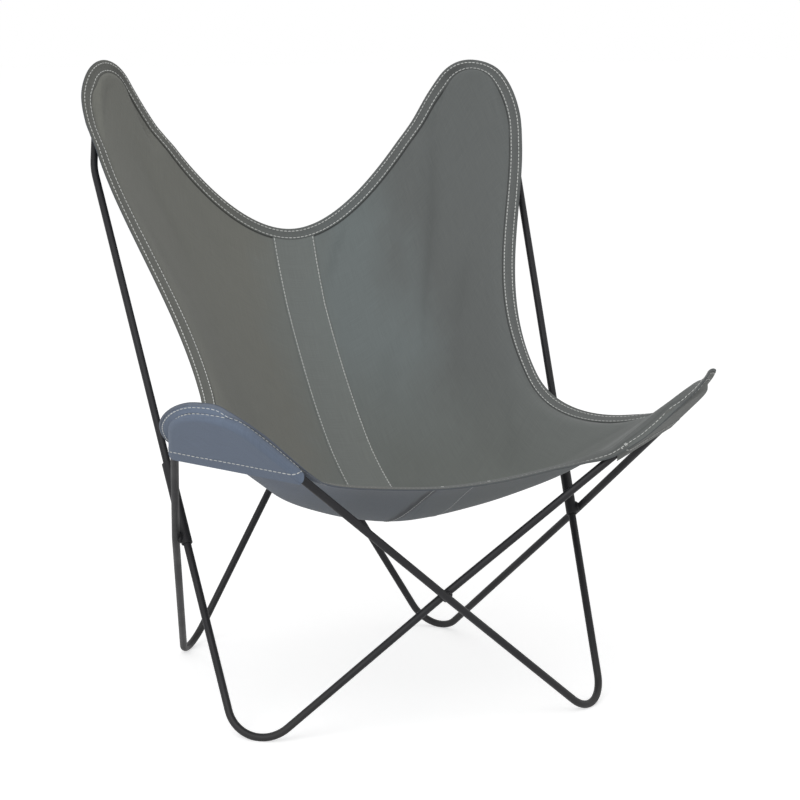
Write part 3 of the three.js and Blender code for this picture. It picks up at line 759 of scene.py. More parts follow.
def makeSideEdge():
    top, tip = slingCut["backLobeSweeps"][1], slingCut["frontLobeSweeps"][1]
    slope, pulls = slingCut["waistSlope"], slingCut["sidePulls"]
    way = unit(vec(slingCut["waistFlare"], -math.cos(slope), -math.sin(slope)))
    waist = slingCut["waist"]
    upper = pulledLine(bendPoint(backLobe, top), -bendWay(backLobe, top), pulls[0], waist, way, pulls[1])
    lower = pulledLine(waist, way, pulls[2], bendPoint(frontLobe, tip), bendWay(frontLobe, tip), pulls[3])
    return joinLines(arcLine(backLobe, 0, top), upper, lower, arcLine(frontLobe, tip, 0))


def makeFrontEdge():
    sweep, pulls = slingCut["frontLobeSweeps"][0], slingCut["frontPulls"]
    run = unit(frontRun - rodFrame["frontHorn"])
    outward = np.cross(run, frontLobe["up"])
    outward = outward * np.sign(dot(outward, frontLobe["outward"]))
    onRod = rodFrame["frontHorn"] + run * slingCut["restDistance"]
    rest = onRod + frontLobe["up"] * slingCut["lift"] + outward * slingCut["restOverhang"]
    outer = pulledLine(bendPoint(frontLobe, sweep), bendWay(frontLobe, sweep), pulls[0], rest, run, pulls[1])
    inner = pulledLine(rest, run, pulls[2], slingCut["frontMiddle"], inwardX, pulls[3])
    return joinLines(arcLine(frontLobe, 0, sweep), outer, inner)


def makeCentreLine():
    lean, rise, pulls = slingCut["centreLean"], slingCut["centreRise"], slingCut["centrePulls"]
    forward = vec(0, -1, 0)
    back = pulledLine(
        slingCut["backMiddle"], vec(0, -math.sin(lean), -math.cos(lean)), pulls[0],
        slingCut["seatLow"], forward, pulls[1])
    front = pulledLine(
        slingCut["seatLow"], forward, pulls[2],
        slingCut["frontMiddle"], vec(0, -math.cos(rise), math.sin(rise)), pulls[3])
    return joinLines(back, front)


backEdge, sideEdge, frontEdge, centreLine = makeBackEdge(), makeSideEdge(), makeFrontEdge(), makeCentreLine()


# Sling surface: u from the middle (0) to the side edge (1), v from the back edge (0) to the front (1)
def blended(u, v):
    across = onLine(backEdge, 1 - u) * (1 - v)[..., None] + onLine(frontEdge, 1 - u) * v[..., None]
    down = onLine(sideEdge, v) - mix(backEdge["at"][0], frontEdge["at"][0], v[..., None])
    down[..., 0] *= u
    return across + down


def smoothSheet(u, v):
    sag = onLine(centreLine, v) - blended(np.zeros_like(v), v)
    return blended(u, v) + sag * ((1 - u * u) ** slingCut["sagPower"])[..., None]


slopeStep, slopeMargin = 0.002, 0.02


def sheetNormal(u, v):
    a = np.clip(u, slopeMargin, 1 - slopeMargin)
    b = np.clip(v, slopeMargin, 1 - slopeMargin)
    alongU = smoothSheet(a + slopeStep, b) - smoothSheet(a - slopeStep, b)
    alongV = smoothSheet(a, b + slopeStep) - smoothSheet(a, b - slopeStep)
    normal = np.cross(alongV, alongU)
    normal[..., 0] *= smoothStep(0, slopeMargin, u)
    return unit(normal)


# Creases pressed into the cloth: half width and depth in mm, how much painted shade darkens them (negative
# amounts only lessen it), and points in u and v
sheetScale = vec(330, 950)  # mm for one unit of u and of v
creaseFade = 1.2


def crease(wide, deep, paintedShade, *line):
    return {"wide": wide, "deep": deep, "paintedShade": paintedShade, "line": np.array(line) * sheetScale}


creases = {
    1: [
        crease(
            15, -4.2, 0.06, (0.74, 0.01), (0.65, 0.05), (0.57, 0.115), (0.51, 0.19), (0.46, 0.28), (0.44, 0.34)),
        crease(
            6, -1.0, 0.14, (0.72, 0.015), (0.65, 0.05), (0.57, 0.115), (0.51, 0.19), (0.46, 0.28),
            (0.43, 0.36), (0.42, 0.4)),
        crease(14, 2.4, -0.06, (0.64, 0.02), (0.55, 0.06), (0.46, 0.12), (0.40, 0.2), (0.37, 0.26)),
        crease(7, -1.6, 0.14, (0.225, 0.03), (0.165, 0.06), (0.115, 0.10), (0.09, 0.14)),
        crease(20, -2.0, 0.12, (0.70, 0.27), (0.66, 0.34), (0.63, 0.40)),
        crease(12, -1.6, 0.08, (0.30, 0.28), (0.24, 0.36), (0.20, 0.43)),
        crease(16, -1.6, 0.08, (0.85, 0.55), (0.66, 0.66), (0.5, 0.72)),
        crease(14, -1.2, 0.05, (0.9, 0.86), (0.74, 0.8), (0.56, 0.77)),
        # A painted shade only, with no depth, over the inside of the right wing
        crease(55, 0.0, 0.27, (0.9, 0.86), (0.78, 0.87), (0.66, 0.91)),
        crease(5, -0.9, 0.12, (0.0, 0.48), (0.05, 0.475), (0.1, 0.48)),
        crease(5, -0.7, 0.08, (0.0, 0.515), (0.06, 0.51)),
    ],
    -1: [
        crease(18, -1.8, 0.08, (0.8, 0.06), (0.66, 0.11), (0.55, 0.17), (0.45, 0.26)),
        crease(16, -1.2, 0.05, (0.5, 0.03), (0.36, 0.08), (0.24, 0.14)),
        crease(22, -1.6, 0.08, (0.9, 0.2), (0.8, 0.3), (0.72, 0.4)),
        crease(16, -1.4, 0.06, (0.86, 0.5), (0.68, 0.62), (0.52, 0.7)),
        crease(14, -1.0, 0.04, (0.9, 0.87), (0.72, 0.81), (0.55, 0.78)),
        crease(5, -0.9, 0.12, (0.0, 0.48), (0.05, 0.49), (0.1, 0.485)),
    ],
}
# The right side dips a little inside its hem: depth in mm, place and half width in u, and its ends in v
sideDip = {"deep": 10.0, "at": 0.94, "wide": 0.045, "begins": (0.52, 0.66), "ends": (0.92, 0.84)}
# Faint waves over the whole cloth: height in mm, and how each of two factors turns with u, v and side
waves = [(0.5, (9.1, 4.2, 1.0), (-3.1, 13.0, 0.7)), (0.25, (21.0, -9.0, 2.0), (8.0, 27.0, 0.0))]
waveFade = {"middle": 0.12, "side": 0.1, "ends": 0.06}


def creaseShape(fold, u, v):
    at = np.stack([u, v], -1) * sheetScale
    line = fold["line"]
    best = np.full(u.shape, np.inf)
    place = np.zeros(u.shape)
    for index in range(len(line) - 1):
        way = line[index + 1] - line[index]
        share = np.clip(dot(at - line[index], way) / dot(way, way), 0, 1)
        off = np.linalg.norm(at - line[index] - share[..., None] * way, axis=-1)
        nearer = off < best
        best = np.where(nearer, off, best)
        place = np.where(nearer, (index + share) / (len(line) - 1), place)
    fade = np.sin(np.pi * np.clip(place, 0, 1)) ** creaseFade
    return fade * np.exp(-(best / fold["wide"]) ** 2)


def creaseSum(key, side, u, v):
    return sum(fold[key] * creaseShape(fold, u, v) for fold in creases[side])


def relief(side, u, v):
    depth = creaseSum("deep", side, u, v)
    fade = smoothStep(0, waveFade["middle"], u) * smoothStep(0, waveFade["side"], 1 - u)
    fade = fade * smoothStep(0, waveFade["ends"], v) * smoothStep(0, waveFade["ends"], 1 - v)
    for high, *turns in waves:
        first, second = (np.sin(byU * u + byV * v + bySide * side) for byU, byV, bySide in turns)
        depth = depth + high * first * second * fade
    if side > 0:
        dip = sideDip["deep"] * np.exp(-((u - sideDip["at"]) / sideDip["wide"]) ** 2)
        depth = depth - dip * smoothStep(*sideDip["begins"], v) * smoothStep(*sideDip["ends"], v)
    return depth


horns = ("back", "front")


# A horn's rod with its outward way, measured in mm from the horn's tip
def hornLine(horn, side, reaches):
    corner = rodFrame[horn + "Horn"]
    ends = {
        "back": (rodFrame["outerKnee"], rodFrame["innerKnee"]),
        "front": (crossSide["onRun"], bowed(frontCrossing(), side)),
    }[horn]
    arc = bendAt(ends[0], corner, ends[1], rodFrame[horn + "HornBend"])
    up = np.cross(arc["outward"], arc["across"])
    up = up * np.sign(dot(up, {"back": backLobe, "front": frontLobe}[horn]["up"]))
    far = [corner + unit(end - corner) * reach for end, reach in zip(ends, reaches)]
    leave = [bendPoint(arc, sign * arc["sweep"]) for sign in (-1, 1)]
    line = joinLines(
        np.linspace(far[0], leave[0], lineSteps["rod"]), arcLine(arc, -arc["sweep"], arc["sweep"]),
        np.linspace(leave[1], far[1], lineSteps["rod"]))
    way = unit(np.gradient(line["at"], axis=0))
    outward = unit(np.cross(way, up))
    outward = outward * np.sign(dot(outward, arc["outward"]).sum())
    tip = np.argmax(dot(line["at"] - corner, arc["outward"]))
    run = (line["share"] - line["share"][tip]) * line["length"]
    return {
        "at": line["at"], "way": way, "outward": outward, "up": up, "run": run, "ends": ends, "corner": corner,
    }


# Where the cloth hangs differently on the two sides: place in u and v, reach and shift in mm
clothPulls = {
    1: [
        {"place": (1.0, 0.02), "reach": 45.0, "shift": vec(0, 0, -6)},
        {"place": (0.78, 0.0), "reach": 45.0, "shift": vec(-3.5, 1.3, 0)},
        {"place": (0.4, 1.0), "reach": 110.0, "shift": vec(0, 0, 3.5)},
    ],
    -1: [
        {"place": (1.0, 0.085), "reach": 50.0, "shift": vec(5.6, 2.1, 0)},
        {"place": (0.5, 1.0), "reach": 80.0, "shift": vec(0, 0, -7)},
    ],
}
pullClear = (9.0, 20.0)  # mm from a rod where the cloth stays put and where it gives way
leastPull = 0.02
# How the rim hangs outside a horn's rod, against mm from the tip: the drop to the pocket's seam and the pull
# inward in mm, and the turn of the free edge beyond in degrees
backHang = {"drop": [(-150, 0), (-110, 5), (110, 5), (150, 0)], "turn": [(0, 0)], "pull": [(0, 0)]}
rimHang = {
    "back": {1: backHang, -1: backHang},
    "front": {
        1: {
            "drop": [
                (-200, 0), (-150, 4.5), (-110, 5.5), (0, 5.5), (48, 9), (72, 12), (120, 12), (154, 9),
                (190, 5), (240, 0),
            ],
            "turn": [
                (-60, -5), (0, -22), (25, 0), (48, 28), (72, 52), (91, 60), (120, 52), (160, 25), (200, 0),
            ],
            "pull": [(-70, 0), (-25, -5), (8, -5), (40, 0)],
        },
        -1: {
            "drop": [
                (-200, 0), (-150, 4.5), (-110, 8), (-75, 11), (-44, 12.5), (0, 10.5), (15, 9.5), (30, 7),
                (45, 3), (60, 0.5), (85, -1.5), (160, -1.5), (200, 0),
            ],
            "turn": [(-150, 0), (-60, -12), (-20, -55), (0, -70), (25, -75), (50, -60), (75, -30), (120, 0)],
            "pull": [(-160, 0), (-115, 4.5), (-60, 4.5), (-15, 0)],
        },
    },
    "dropFrom": (1.5, 11.0),
    "turnFrom": 5.0,
    "turnSoft": 3.0,
    "reach": 330.0,
    "wide": 60.0,
}
hornLines = {
    (horn, side): hornLine(horn, side, [rimHang["reach"]] * 2) for horn in horns for word, side in sides}
rodBatch = 4000  # points measured at a time


def nearestRod(line, points):
    spot = np.empty(len(points), int)
    for start in range(0, len(points), rodBatch):
        away = points[start:start + rodBatch, None] - line["at"][None]
        spot[start:start + rodBatch] = np.argmin(dot(away, away), axis=1)
    return spot


def hung(side, points):
    flat = np.array(points, float).reshape(-1, 3)
    shift = np.zeros_like(flat)
    for pull in clothPulls[side]:
        centre = smoothSheet(*(np.array([value], float) for value in pull["place"]))[0]
        near = np.exp(-(np.linalg.norm(flat - centre, axis=1) / pull["reach"]) ** 2)
        shift += near[:, None] * pull["shift"]
    for horn in horns:
        line = hornLines[horn, side]
        some = np.where(np.linalg.norm(shift, axis=1) > leastPull)[0]
        spot = nearestRod(line, flat[some])
        off = np.linalg.norm(flat[some] - line["at"][spot], axis=1)
        shift[some] *= smoothStep(*pullClear, off)[:, None]
    flat = flat + shift
    for horn in horns:
        line, hang = hornLines[horn, side], rimHang[horn][side]
        some = np.where(np.linalg.norm(flat - line["corner"], axis=1) < rimHang["reach"])[0]
        spot = nearestRod(line, flat[some])
        away = flat[some] - line["at"][spot]
        wide = dot(away, line["outward"][spot])
        drop, turn, pull = (readTable(hang[key], line["run"][spot]) for key in ("drop", "turn", "pull"))
        beyond = np.maximum(wide - rimHang["turnFrom"], 0)
        free = beyond ** 2 / (beyond + rimHang["turnSoft"])
        near = np.linalg.norm(away, axis=1) < rimHang["wide"]
        over = smoothStep(*rimHang["dropFrom"], wide)
        fall = near * (drop * over + free * np.sin(np.radians(turn)))
        draw = near * (pull * over + free * (1 - np.cos(np.radians(turn))))
        flat[some] -= fall[:, None] * line["up"] + draw[:, None] * line["outward"][spot]
    return flat.reshape(np.shape(points))


def sheetPoint(side, u, v, offset):
    lifted = np.asarray(relief(side, u, v) + offset)
    return hung(side, smoothSheet(u, v) + sheetNormal(u, v) * lifted[..., None])


def slingPoint(side, u, v, offset):
    return mirrored(sheetPoint(side, u, v, offset), side)


placeStride = 0.1  # of u or v in one round


# Sheet place of the surface point nearest to a target
def nearestPlace(target, u, v, rounds=16):
    for turn in range(rounds):
        here = smoothSheet(u, v)
        uStep = np.where(u > 0.5, -slopeStep, slopeStep)
        vStep = np.where(v > 0.5, -slopeStep, slopeStep)
        uWay = (smoothSheet(u + uStep, v) - here) / uStep[..., None]
        vWay = (smoothSheet(u, v + vStep) - here) / vStep[..., None]
        miss = target - here
        uu, uv, vv = dot(uWay, uWay), dot(uWay, vWay), dot(vWay, vWay)
        scale = uu * vv - uv * uv
        uMove = (dot(miss, uWay) * vv - dot(miss, vWay) * uv) / scale
        vMove = (dot(miss, vWay) * uu - dot(miss, uWay) * uv) / scale
        u = np.clip(u + np.clip(uMove, -placeStride, placeStride), 0, 1)
        v = np.clip(v + np.clip(vMove, -placeStride, placeStride), 0, 1)
    return u, v


# The right half's edge from the back middle round both lobes to the front middle, every few mm
edgeStep = 4.0
insetWidths = vec(0, 1, 2.5, 5, 8, 12, 16, 20, 25, 31, 38, 46)
inwardGuess = {"way": (0.95, 0.03), "place": (0.97, 0.02)}  # share of u that is kept, and margin in v


def drawnIn(u, v, kept, margin):
    return u * kept, mix(margin, 1 - margin, v)


def walkEdge():
    counts = [math.ceil(edge["length"] / edgeStep) for edge in (backEdge, sideEdge, frontEdge)]
    back, down, front = [np.linspace(0, 1, count + 1) for count in counts]
    u = np.concatenate([back, np.ones(counts[1]), 1 - front[1:]])
    v = np.concatenate([0 * back, down[1:], np.ones(counts[2])])
    at = smoothSheet(u, v)
    way = unit(np.gradient(at, axis=0))
    way[0], way[-1] = vec(1, 0, 0), vec(-1, 0, 0)
    inward = unit(np.cross(sheetNormal(u, v), way))
    inner = smoothSheet(*drawnIn(u, v, *inwardGuess["way"])) - at
    inward = inward * np.sign(dot(inward, inner).sum())
    rows = [(u, v)]
    for width in insetWidths[1:]:
        guess = drawnIn(u, v, *inwardGuess["place"]) if len(rows) == 1 else rows[-1]
        found = nearestPlace(at + inward * width, *guess)
        found[0][0] = found[0][-1] = 0
        rows.append(found)
    return {
        "u": u, "v": v, "at": at, "inward": inward, "run": runAlong(at),
        "backTip": counts[0], "frontTip": counts[0] + counts[1],
        "insetU": np.stack([row[0] for row in rows]), "insetV": np.stack([row[1] for row in rows]),
    }


rim = walkEdge()
rimCount = len(rim["u"])


# Sheet places a width inside the edge, for spots counted along the rim
def insetPlace(width, spot=None):
    spot = np.arange(rimCount, dtype=float) if spot is None else np.asarray(spot, float)
    width = np.broadcast_to(width, spot.shape)
    step = np.clip(np.searchsorted(insetWidths, width) - 1, 0, len(insetWidths) - 2)
    share = (width - insetWidths[step]) / (insetWidths[step + 1] - insetWidths[step])
    before = np.clip(spot.astype(int), 0, rimCount - 2)
    places = []
    for table in (rim["insetU"], rim["insetV"]):
        near = mix(table[step, before], table[step + 1, before], share)
        far = mix(table[step, before + 1], table[step + 1, before + 1], share)
        places.append(mix(near, far, spot - before))
    return places


def rimPoint(side, width, offset):
    if width >= 0:
        u, v = insetPlace(width)
        return slingPoint(side, u, v, np.broadcast_to(offset, rimCount))
    base = smoothSheet(rim["u"], rim["v"]) + rim["inward"] * width
    lifted = sheetNormal(rim["u"], rim["v"]) * np.broadcast_to(offset, rimCount)[:, None]
    return mirrored(hung(side, base + lifted), side)


# Cloth pieces

def clothGrid(name, columns, rows):
    deselectAll()
    bpy.ops.mesh.primitive_grid_add(x_subdivisions=columns, y_subdivisions=rows, size=1, location=(0, 0, 0))
    piece = bpy.context.object
    piece.name = name
    flat = np.empty(len(piece.data.vertices) * 3)
    piece.data.vertices.foreach_get("co", flat)
    share = flat.reshape(-1, 3)[:, :2] + 0.5
    return piece, share[:, 0], share[:, 1]


clothAngle = 50  # degrees under which cloth is shaded smooth


# Thread map in metres, measured along the cloth's own rows and columns
def mapThreads(piece, a, b, points):
    columns, rows = len(np.unique(a.round(5))), len(np.unique(b.round(5)))
    order = np.lexsort((a.round(5), b.round(5))).reshape(rows, columns)
    net = points[order]
    across = np.zeros((rows, columns))
    across[:, 1:] = np.cumsum(np.linalg.norm(np.diff(net, axis=1), axis=2), axis=1)
    along = np.zeros((rows, columns))
    along[1:] = np.cumsum(np.linalg.norm(np.diff(net, axis=0), axis=2), axis=0)
    threads = np.empty((len(a), 2))
    threads[order.ravel()] = np.stack([across.ravel(), along.ravel()], -1) * mm
    layer = piece.data.uv_layers.active
    layer.name = "threads"
    corners = np.empty(len(piece.data.loops), int)
    piece.data.loops.foreach_get("vertex_index", corners)
    layer.data.foreach_set("uv", threads[corners].ravel())


def markCloth(piece, name, values):
    mark = piece.data.attributes.new(name, "FLOAT", "POINT")
    mark.data.foreach_set("value", np.asarray(values, np.float32))


def shapeCloth(piece, a, b, points, thickness):
    mapThreads(piece, a, b, points)
    piece.data.vertices.foreach_set("co", toPart(points).ravel())
    piece.data.update()
    applyModifier(piece, "SOLIDIFY", thickness=thickness * mm, offset=0)
    faceOutward(piece)
    smoothShade(piece, clothAngle)


# Each skin of a sheet has its own painted shade marks, the creases' on the top skin and the seam's shadow on the
# lower one, and the lower one is marked as the underside
def markSkins(piece, points, normals, paintedShadeMark, underPaintedShade):
    spots = np.empty(len(piece.data.vertices) * 3)
    piece.data.vertices.foreach_get("co", spots)
    rise = dot(spots.reshape(2, -1, 3) - toPart(points), normals)
    markCloth(piece, "underside", (rise < 0).ravel())
    markCloth(piece, "paintedShadeMark", np.where(rise < 0, underPaintedShade, paintedShadeMark).ravel())


def clothArea(piece):
    return sum(face.area for face in piece.data.polygons) / 2


panelGrid = {"columns": 96, "rows": 240, "tipCrowding": 1.3, "endCrowding": 0.35, "middleGap": 0.15}
# The painted shadow of the seam's fold under the seat's front, a dark line: its places in v and mm from the
# middle
seamFoldShadow = {
    "line": [(0.7, -29), (0.81, -22), (0.85, -16.5), (0.89, -11), (0.93, -8), (1, -12)],
    "wide": 5.0, "paintedShade": 1.5, "from": (0.7, 0.8),
}
for word, side in sides:
    panel, a, b = clothGrid("slingPanel" + word, panelGrid["columns"], panelGrid["rows"])
    u = 1 - (1 - a) ** panelGrid["tipCrowding"]
    v = mix(b, (1 - np.cos(np.pi * b)) / 2, panelGrid["endCrowding"])
    points = slingPoint(side, u, v, np.zeros_like(u))
    points[:, 0] = side * np.maximum(side * points[:, 0], panelGrid["middleGap"])
    shapeCloth(panel, a, b, points, slingCut["thickness"])
    # Painted shadow along the seam's fold, on the lower skin only
    foldAway = (points[:, 0] - readTable(seamFoldShadow["line"], v)) / seamFoldShadow["wide"]
    fold = seamFoldShadow["paintedShade"] * np.exp(-foldAway ** 2) * smoothStep(*seamFoldShadow["from"], v)
    markSkins(panel, points, mirrored(sheetNormal(u, v), side), creaseSum("paintedShade", side, u, v), fold)
    finishPiece(panel, "canvas", canvasFinish["panel"], "sling_panel_" + word.lower())


# Hem: one turned strip round the whole sling, with a ridge at its inner row of stitches
hemCut = {
    # Profile points: width in from the edge and lift in mm, and a painted shade, darkest as the shadow line just
    # inside the ridge and round the turned edge
    "profile": [
        (20.4, 0.74, 0.45), (20.2, 0.84, 0.6), (18.7, 0.9, 1.0), (18.5, 1.6, 0.6), (18.1, 2.4, 0.05),
        (17.3, 2.8, -0.3), (16.6, 2.7, -0.1), (15.9, 2.3, 0.3), (15.2, 2.6, 0.0), (13.5, 2.7, 0.0),
        (10.5, 2.6, 0.06), (7.5, 2.4, 0.12), (5.4, 2.1, 0.15), (4.4, 1.9, 0.35), (3.6, 2.0, 0.05),
        (2.4, 1.8, 0.0), (1.0, 1.6, 0.1), (-0.2, 1.2, 0.35), (-0.8, 0.4, 0.5), (-0.8, -0.4, 0.5),
        (-0.2, -1.0, 0.35), (1.0, -1.25, 0.2), (2.3, -1.25, 0.1), (2.5, -1.05, 0.3), (2.2, -0.78, 0.5),
        (0.6, -0.76, 0.3), (0.05, 0.0, 0.0), (0.6, 0.76, 0.0), (5.0, 0.76, 0.0), (11.0, 0.76, 0.0),
    ],
    "edgeSpot": 17,
    "underSpots": (18, 25),
    "lobeLift": (2.2, 0.75),
    "lobeWidths": (4.0, 20.4),
    "ridgeFrom": 5.0,
    "ridgeStop": ((-185, -160), (205, 180)),
    # Painted shade in the dip between the rows at the inner top of each back lobe: strength, mm from the back
    # tip, half width, and the widths it lies between
    "recess": {"paintedShade": 0.5, "at": 38.0, "wide": 32.0, "between": (6.0, 15.5)},
    "smoothAngle": 60,
}


# The ridge ends where a front pocket holds the edge
def flatShare():
    away = rim["run"] - rim["run"][rim["frontTip"]]
    start, stop = hemCut["ridgeStop"]
    return smoothStep(*start, away) * smoothStep(*stop, away)


def sewHem():
    flat = flatShare()
    away = rim["run"][rim["backTip"]] - rim["run"]
    recess = hemCut["recess"]
    shade = recess["paintedShade"] * np.exp(-((away - recess["at"]) / recess["wide"]) ** 2)
    halves, marks = {1: [], -1: []}, []
    for width, lift, mark in hemCut["profile"]:
        onTop = lift > hemCut["lobeLift"][1]
        plain = min(lift, np.interp(width, hemCut["lobeWidths"], hemCut["lobeLift"])) if onTop else lift
        for word, side in sides:
            halves[side].append(rimPoint(side, width, mix(lift, plain, flat)))
        inRecess = onTop and recess["between"][0] < width < recess["between"][1]
        flatMark = 0 if width > hemCut["ridgeFrom"] else mark
        marks.append(mix(mark, flatMark, flat) + shade * inRecess)
    right, left = np.stack(halves[1], 1), np.stack(halves[-1], 1)
    rings = np.concatenate([right, left[::-1][1:-1]])
    count, ring = rings.shape[:2]
    index = np.arange(count * ring).reshape(count, ring)
    after = np.roll(index, -1, 0)
    quads = np.stack([index, after, np.roll(after, -1, 1), np.roll(index, -1, 1)], -1).reshape(-1, 4)
    hem = meshPiece("edgeHem", rings, quads.tolist())
    along, around = (
        runAlong(np.concatenate([line, line[:1]])) for line in (rings[:, hemCut["edgeSpot"]], rings[0]))
    row, column = np.divmod(np.arange(count * ring), ring)
    rowCorner = np.stack([row, row + 1, row + 1, row], -1)
    columnCorner = np.stack([column, column, column + 1, column + 1], -1)
    threads = np.stack([along[rowCorner], around[columnCorner]], -1) * mm
    hem.data.uv_layers.new(name="threads").data.foreach_set("uv", threads.ravel())
    marks = np.stack(marks, 1)
    spots = np.arange(ring)
    under = (spots >= hemCut["underSpots"][0]) & (spots <= hemCut["underSpots"][1])
    markCloth(hem, "paintedShadeMark", np.concatenate([marks, marks[::-1][1:-1]]).ravel())
    markCloth(hem, "underside", np.tile(under, count))
    hem.data.update()
    faceOutward(hem)
    smoothShade(hem, hemCut["smoothAngle"])
    return hem


edgeHem = sewHem()
finishPiece(
    edgeHem, "canvas", canvasFinish["hem"], "back_hem", "front_hem", "side_hem_left", "side_hem_right")
print("hem sewn:", round(clothArea(edgeHem), 4))


# Centre band over the seam of the two panels
bandCut = {
    "leftEdge": [
        (0, 33), (0.15, 37), (0.5, 38.5), (0.62, 36), (0.72, 28), (0.81, 21), (0.85, 15.5), (0.89, 10),
        (0.93, 7), (1, 11),
    ],
    "rightEdge": [
        (0, 36), (0.15, 30), (0.5, 30), (0.62, 33), (0.72, 42), (0.81, 50), (0.865, 53.5), (0.934, 56.5),
        (1, 54),
    ],
    "thickness": 1.0,
    "columns": 16,
    "rows": 240,
    "endInset": 18.6,
    "gap": 0.25,
    "tuck": 0.3,
    "tuckFrom": 0.9,
    "rounds": 12,
    "least": 1e-6,
    "halfWidth": 34.0,
    "stitchInset": 2.4,
    "stitchLift": 0.3,
    "stitchSteps": 300,
}
bandEnds = [float(insetPlace(bandCut["endInset"])[1][index]) for index in (0, rimCount - 1)]


def bandPlace(t, b):
    v = mix(*bandEnds, b)
    left, right = (readTable(bandCut[key], b) for key in ("leftEdge", "rightEdge"))
    half = np.abs(t) * np.where(t < 0, left, right)
    u, least = half / sheetScale[0], bandCut["least"]
    for turn in range(bandCut["rounds"]):
        wide = smoothSheet(np.maximum(u, least), v)[..., 0]
        u = np.where(half > 0, u * half / np.maximum(wide, least), 0)
    return u, v


def bandPoint(t, b, offset):
    u, v = bandPlace(t, b)
    return np.where((t > 0)[..., None], slingPoint(1, u, v, offset), slingPoint(-1, u, v, offset))


centreBand, a, b = clothGrid("centreBand", bandCut["columns"], bandCut["rows"])
t = 2 * a - 1
bandLift = (slingCut["thickness"] + bandCut["thickness"]) / 2 + bandCut["gap"]
bandLift = bandLift - bandCut["tuck"] * smoothStep(bandCut["tuckFrom"], 1, np.abs(t))
shapeCloth(centreBand, a, b, bandPoint(t, b, bandLift), bandCut["thickness"])
finishPiece(centreBand, "canvas", canvasFinish["band"], "centre_band")
print("centre band sewn:", round(clothArea(centreBand), 4))


# Pockets: sewn flat under the lobe's rim, wrapped round the rod and open towards the seat
pocketCut = {
    "thickness": 1.2,
    "slack": 1.3,
    "gap": 0.12,
    "seamInset": 2.8,
    "seamLeast": 3.6,
    "seamWidth": 17.2,
    "seamClear": 0.4,
    "wrapClear": 0.01,
    "slipKept": 0.6,
    "mouthPast": 1.5,
    "mouthHem": 22.0,
    "mouthThick": 0.45,
    "mouthSoft": 0.8,
    "columns": 110,
    "flatRows": 5,
    "roundRows": 9,
    "straightRows": 34,
    "back": {"inner": 105.0, "outer": 100.0, "innerMouth": 150.0, "outerMouth": 150.0},
    "front": {"inner": 175.0, "outer": 156.0, "innerMouth": 243.0, "outerMouth": 217.0},
}
wrapRadius = rodRadius + pocketCut["slack"] + pocketCut["thickness"] / 2
flatDepth = (slingCut["thickness"] + pocketCut["thickness"]) / 2 + pocketCut["gap"]


# One row of places for each step from the seam over the rod to the mouth
def pocketNet(horn, side):
    cut = pocketCut[horn]
    line = hornLine(horn, side, [cut[key] - pocketCut["mouthPast"] for key in ("outerMouth", "innerMouth")])
    up = line["up"]
    mouth = [
        line["corner"] + unit(end - line["corner"]) * cut[key]
        for end, key in zip(line["ends"], ("outerMouth", "innerMouth"))]
    s = np.linspace(-1, 1, pocketCut["columns"] + 1)
    run = np.where(s > 0, s * line["run"][-1], -s * line["run"][0])
    along, outward, way = (pointsAt(run, line["run"], line[key]) for key in ("at", "outward", "way"))
    reach = np.where(s > 0, cut["inner"] * s, cut["outer"] * s)
    tip = rim["run"][rim[horn + "Tip"]]
    spot = np.interp(tip + (reach if horn == "front" else -reach), rim["run"], np.arange(rimCount))
    away = smoothSheet(*insetPlace(0.0, spot))[:, None] - line["at"][None]
    away = away - dot(away, up)[..., None] * up
    overhang = np.linalg.norm(away, axis=-1).min(1)
    seam = overhang - wrapRadius - pocketCut["seamClear"]
    seam = np.clip(seam, pocketCut["seamLeast"], pocketCut["seamWidth"])
    rows = []
    for share in np.linspace(0, 1, pocketCut["flatRows"]):
        u, v = insetPlace(mix(pocketCut["seamInset"], seam, share), spot)
        rows.append(sheetPoint(side, u, v, -flatDepth))
    leaving = rows[-1] - along
    high, wide = dot(leaving, up), dot(leaving, outward)
    far = np.maximum(np.hypot(high, wide), wrapRadius + pocketCut["wrapClear"])
    first = np.arccos(wrapRadius / far) - np.arctan2(high, wide)
    slip = dot(leaving, way) * pocketCut["slipKept"]
    for turn in np.linspace(0, 1, pocketCut["roundRows"]):
        angle = mix(first, math.pi / 2, turn)[:, None]
        around = outward * np.cos(angle) - up * np.sin(angle)
        rows.append(along + around * wrapRadius + way * (slip * (1 - turn) ** 2)[:, None])
    low = rows[-1]
    end = mix(mouth[0], mouth[1], ((s + 1) / 2)[:, None]) - up * wrapRadius
    length = np.linalg.norm(end - low, axis=1)
    hemFrom = [pocketCut["mouthHem"] + sign * pocketCut["mouthSoft"] for sign in (1, -1)]
    for share in np.linspace(0, 1, pocketCut["straightRows"] + 1)[1:]:
        hem = pocketCut["mouthThick"] * smoothStep(*hemFrom, length * (1 - share))
        rows.append(mix(low, end, share) - up * hem[:, None])
    return {"net": np.stack(rows), "seam": seam, "spot": spot, "up": up}


pocketNets = {(horn, side): pocketNet(horn, side) for horn in horns for word, side in sides}
pockets = {}
for word, side in sides:
    for horn in horns:
        net = pocketNets[horn, side]["net"]
        piece, a, b = clothGrid(horn + "Pocket" + word, net.shape[1] - 1, net.shape[0] - 1)
        row, column = (np.rint(share * (count - 1)).astype(int) for share, count in zip((b, a), net.shape))
        points = mirrored(net[row, column], side)
        shapeCloth(piece, a, b, points, pocketCut["thickness"])
        finishPiece(piece, "canvas", canvasFinish["pocket"], horn + "_pocket_" + word.lower())
        pockets[horn, side] = piece
print("pockets sewn:", [round(clothArea(piece), 4) for piece in pockets.values()])


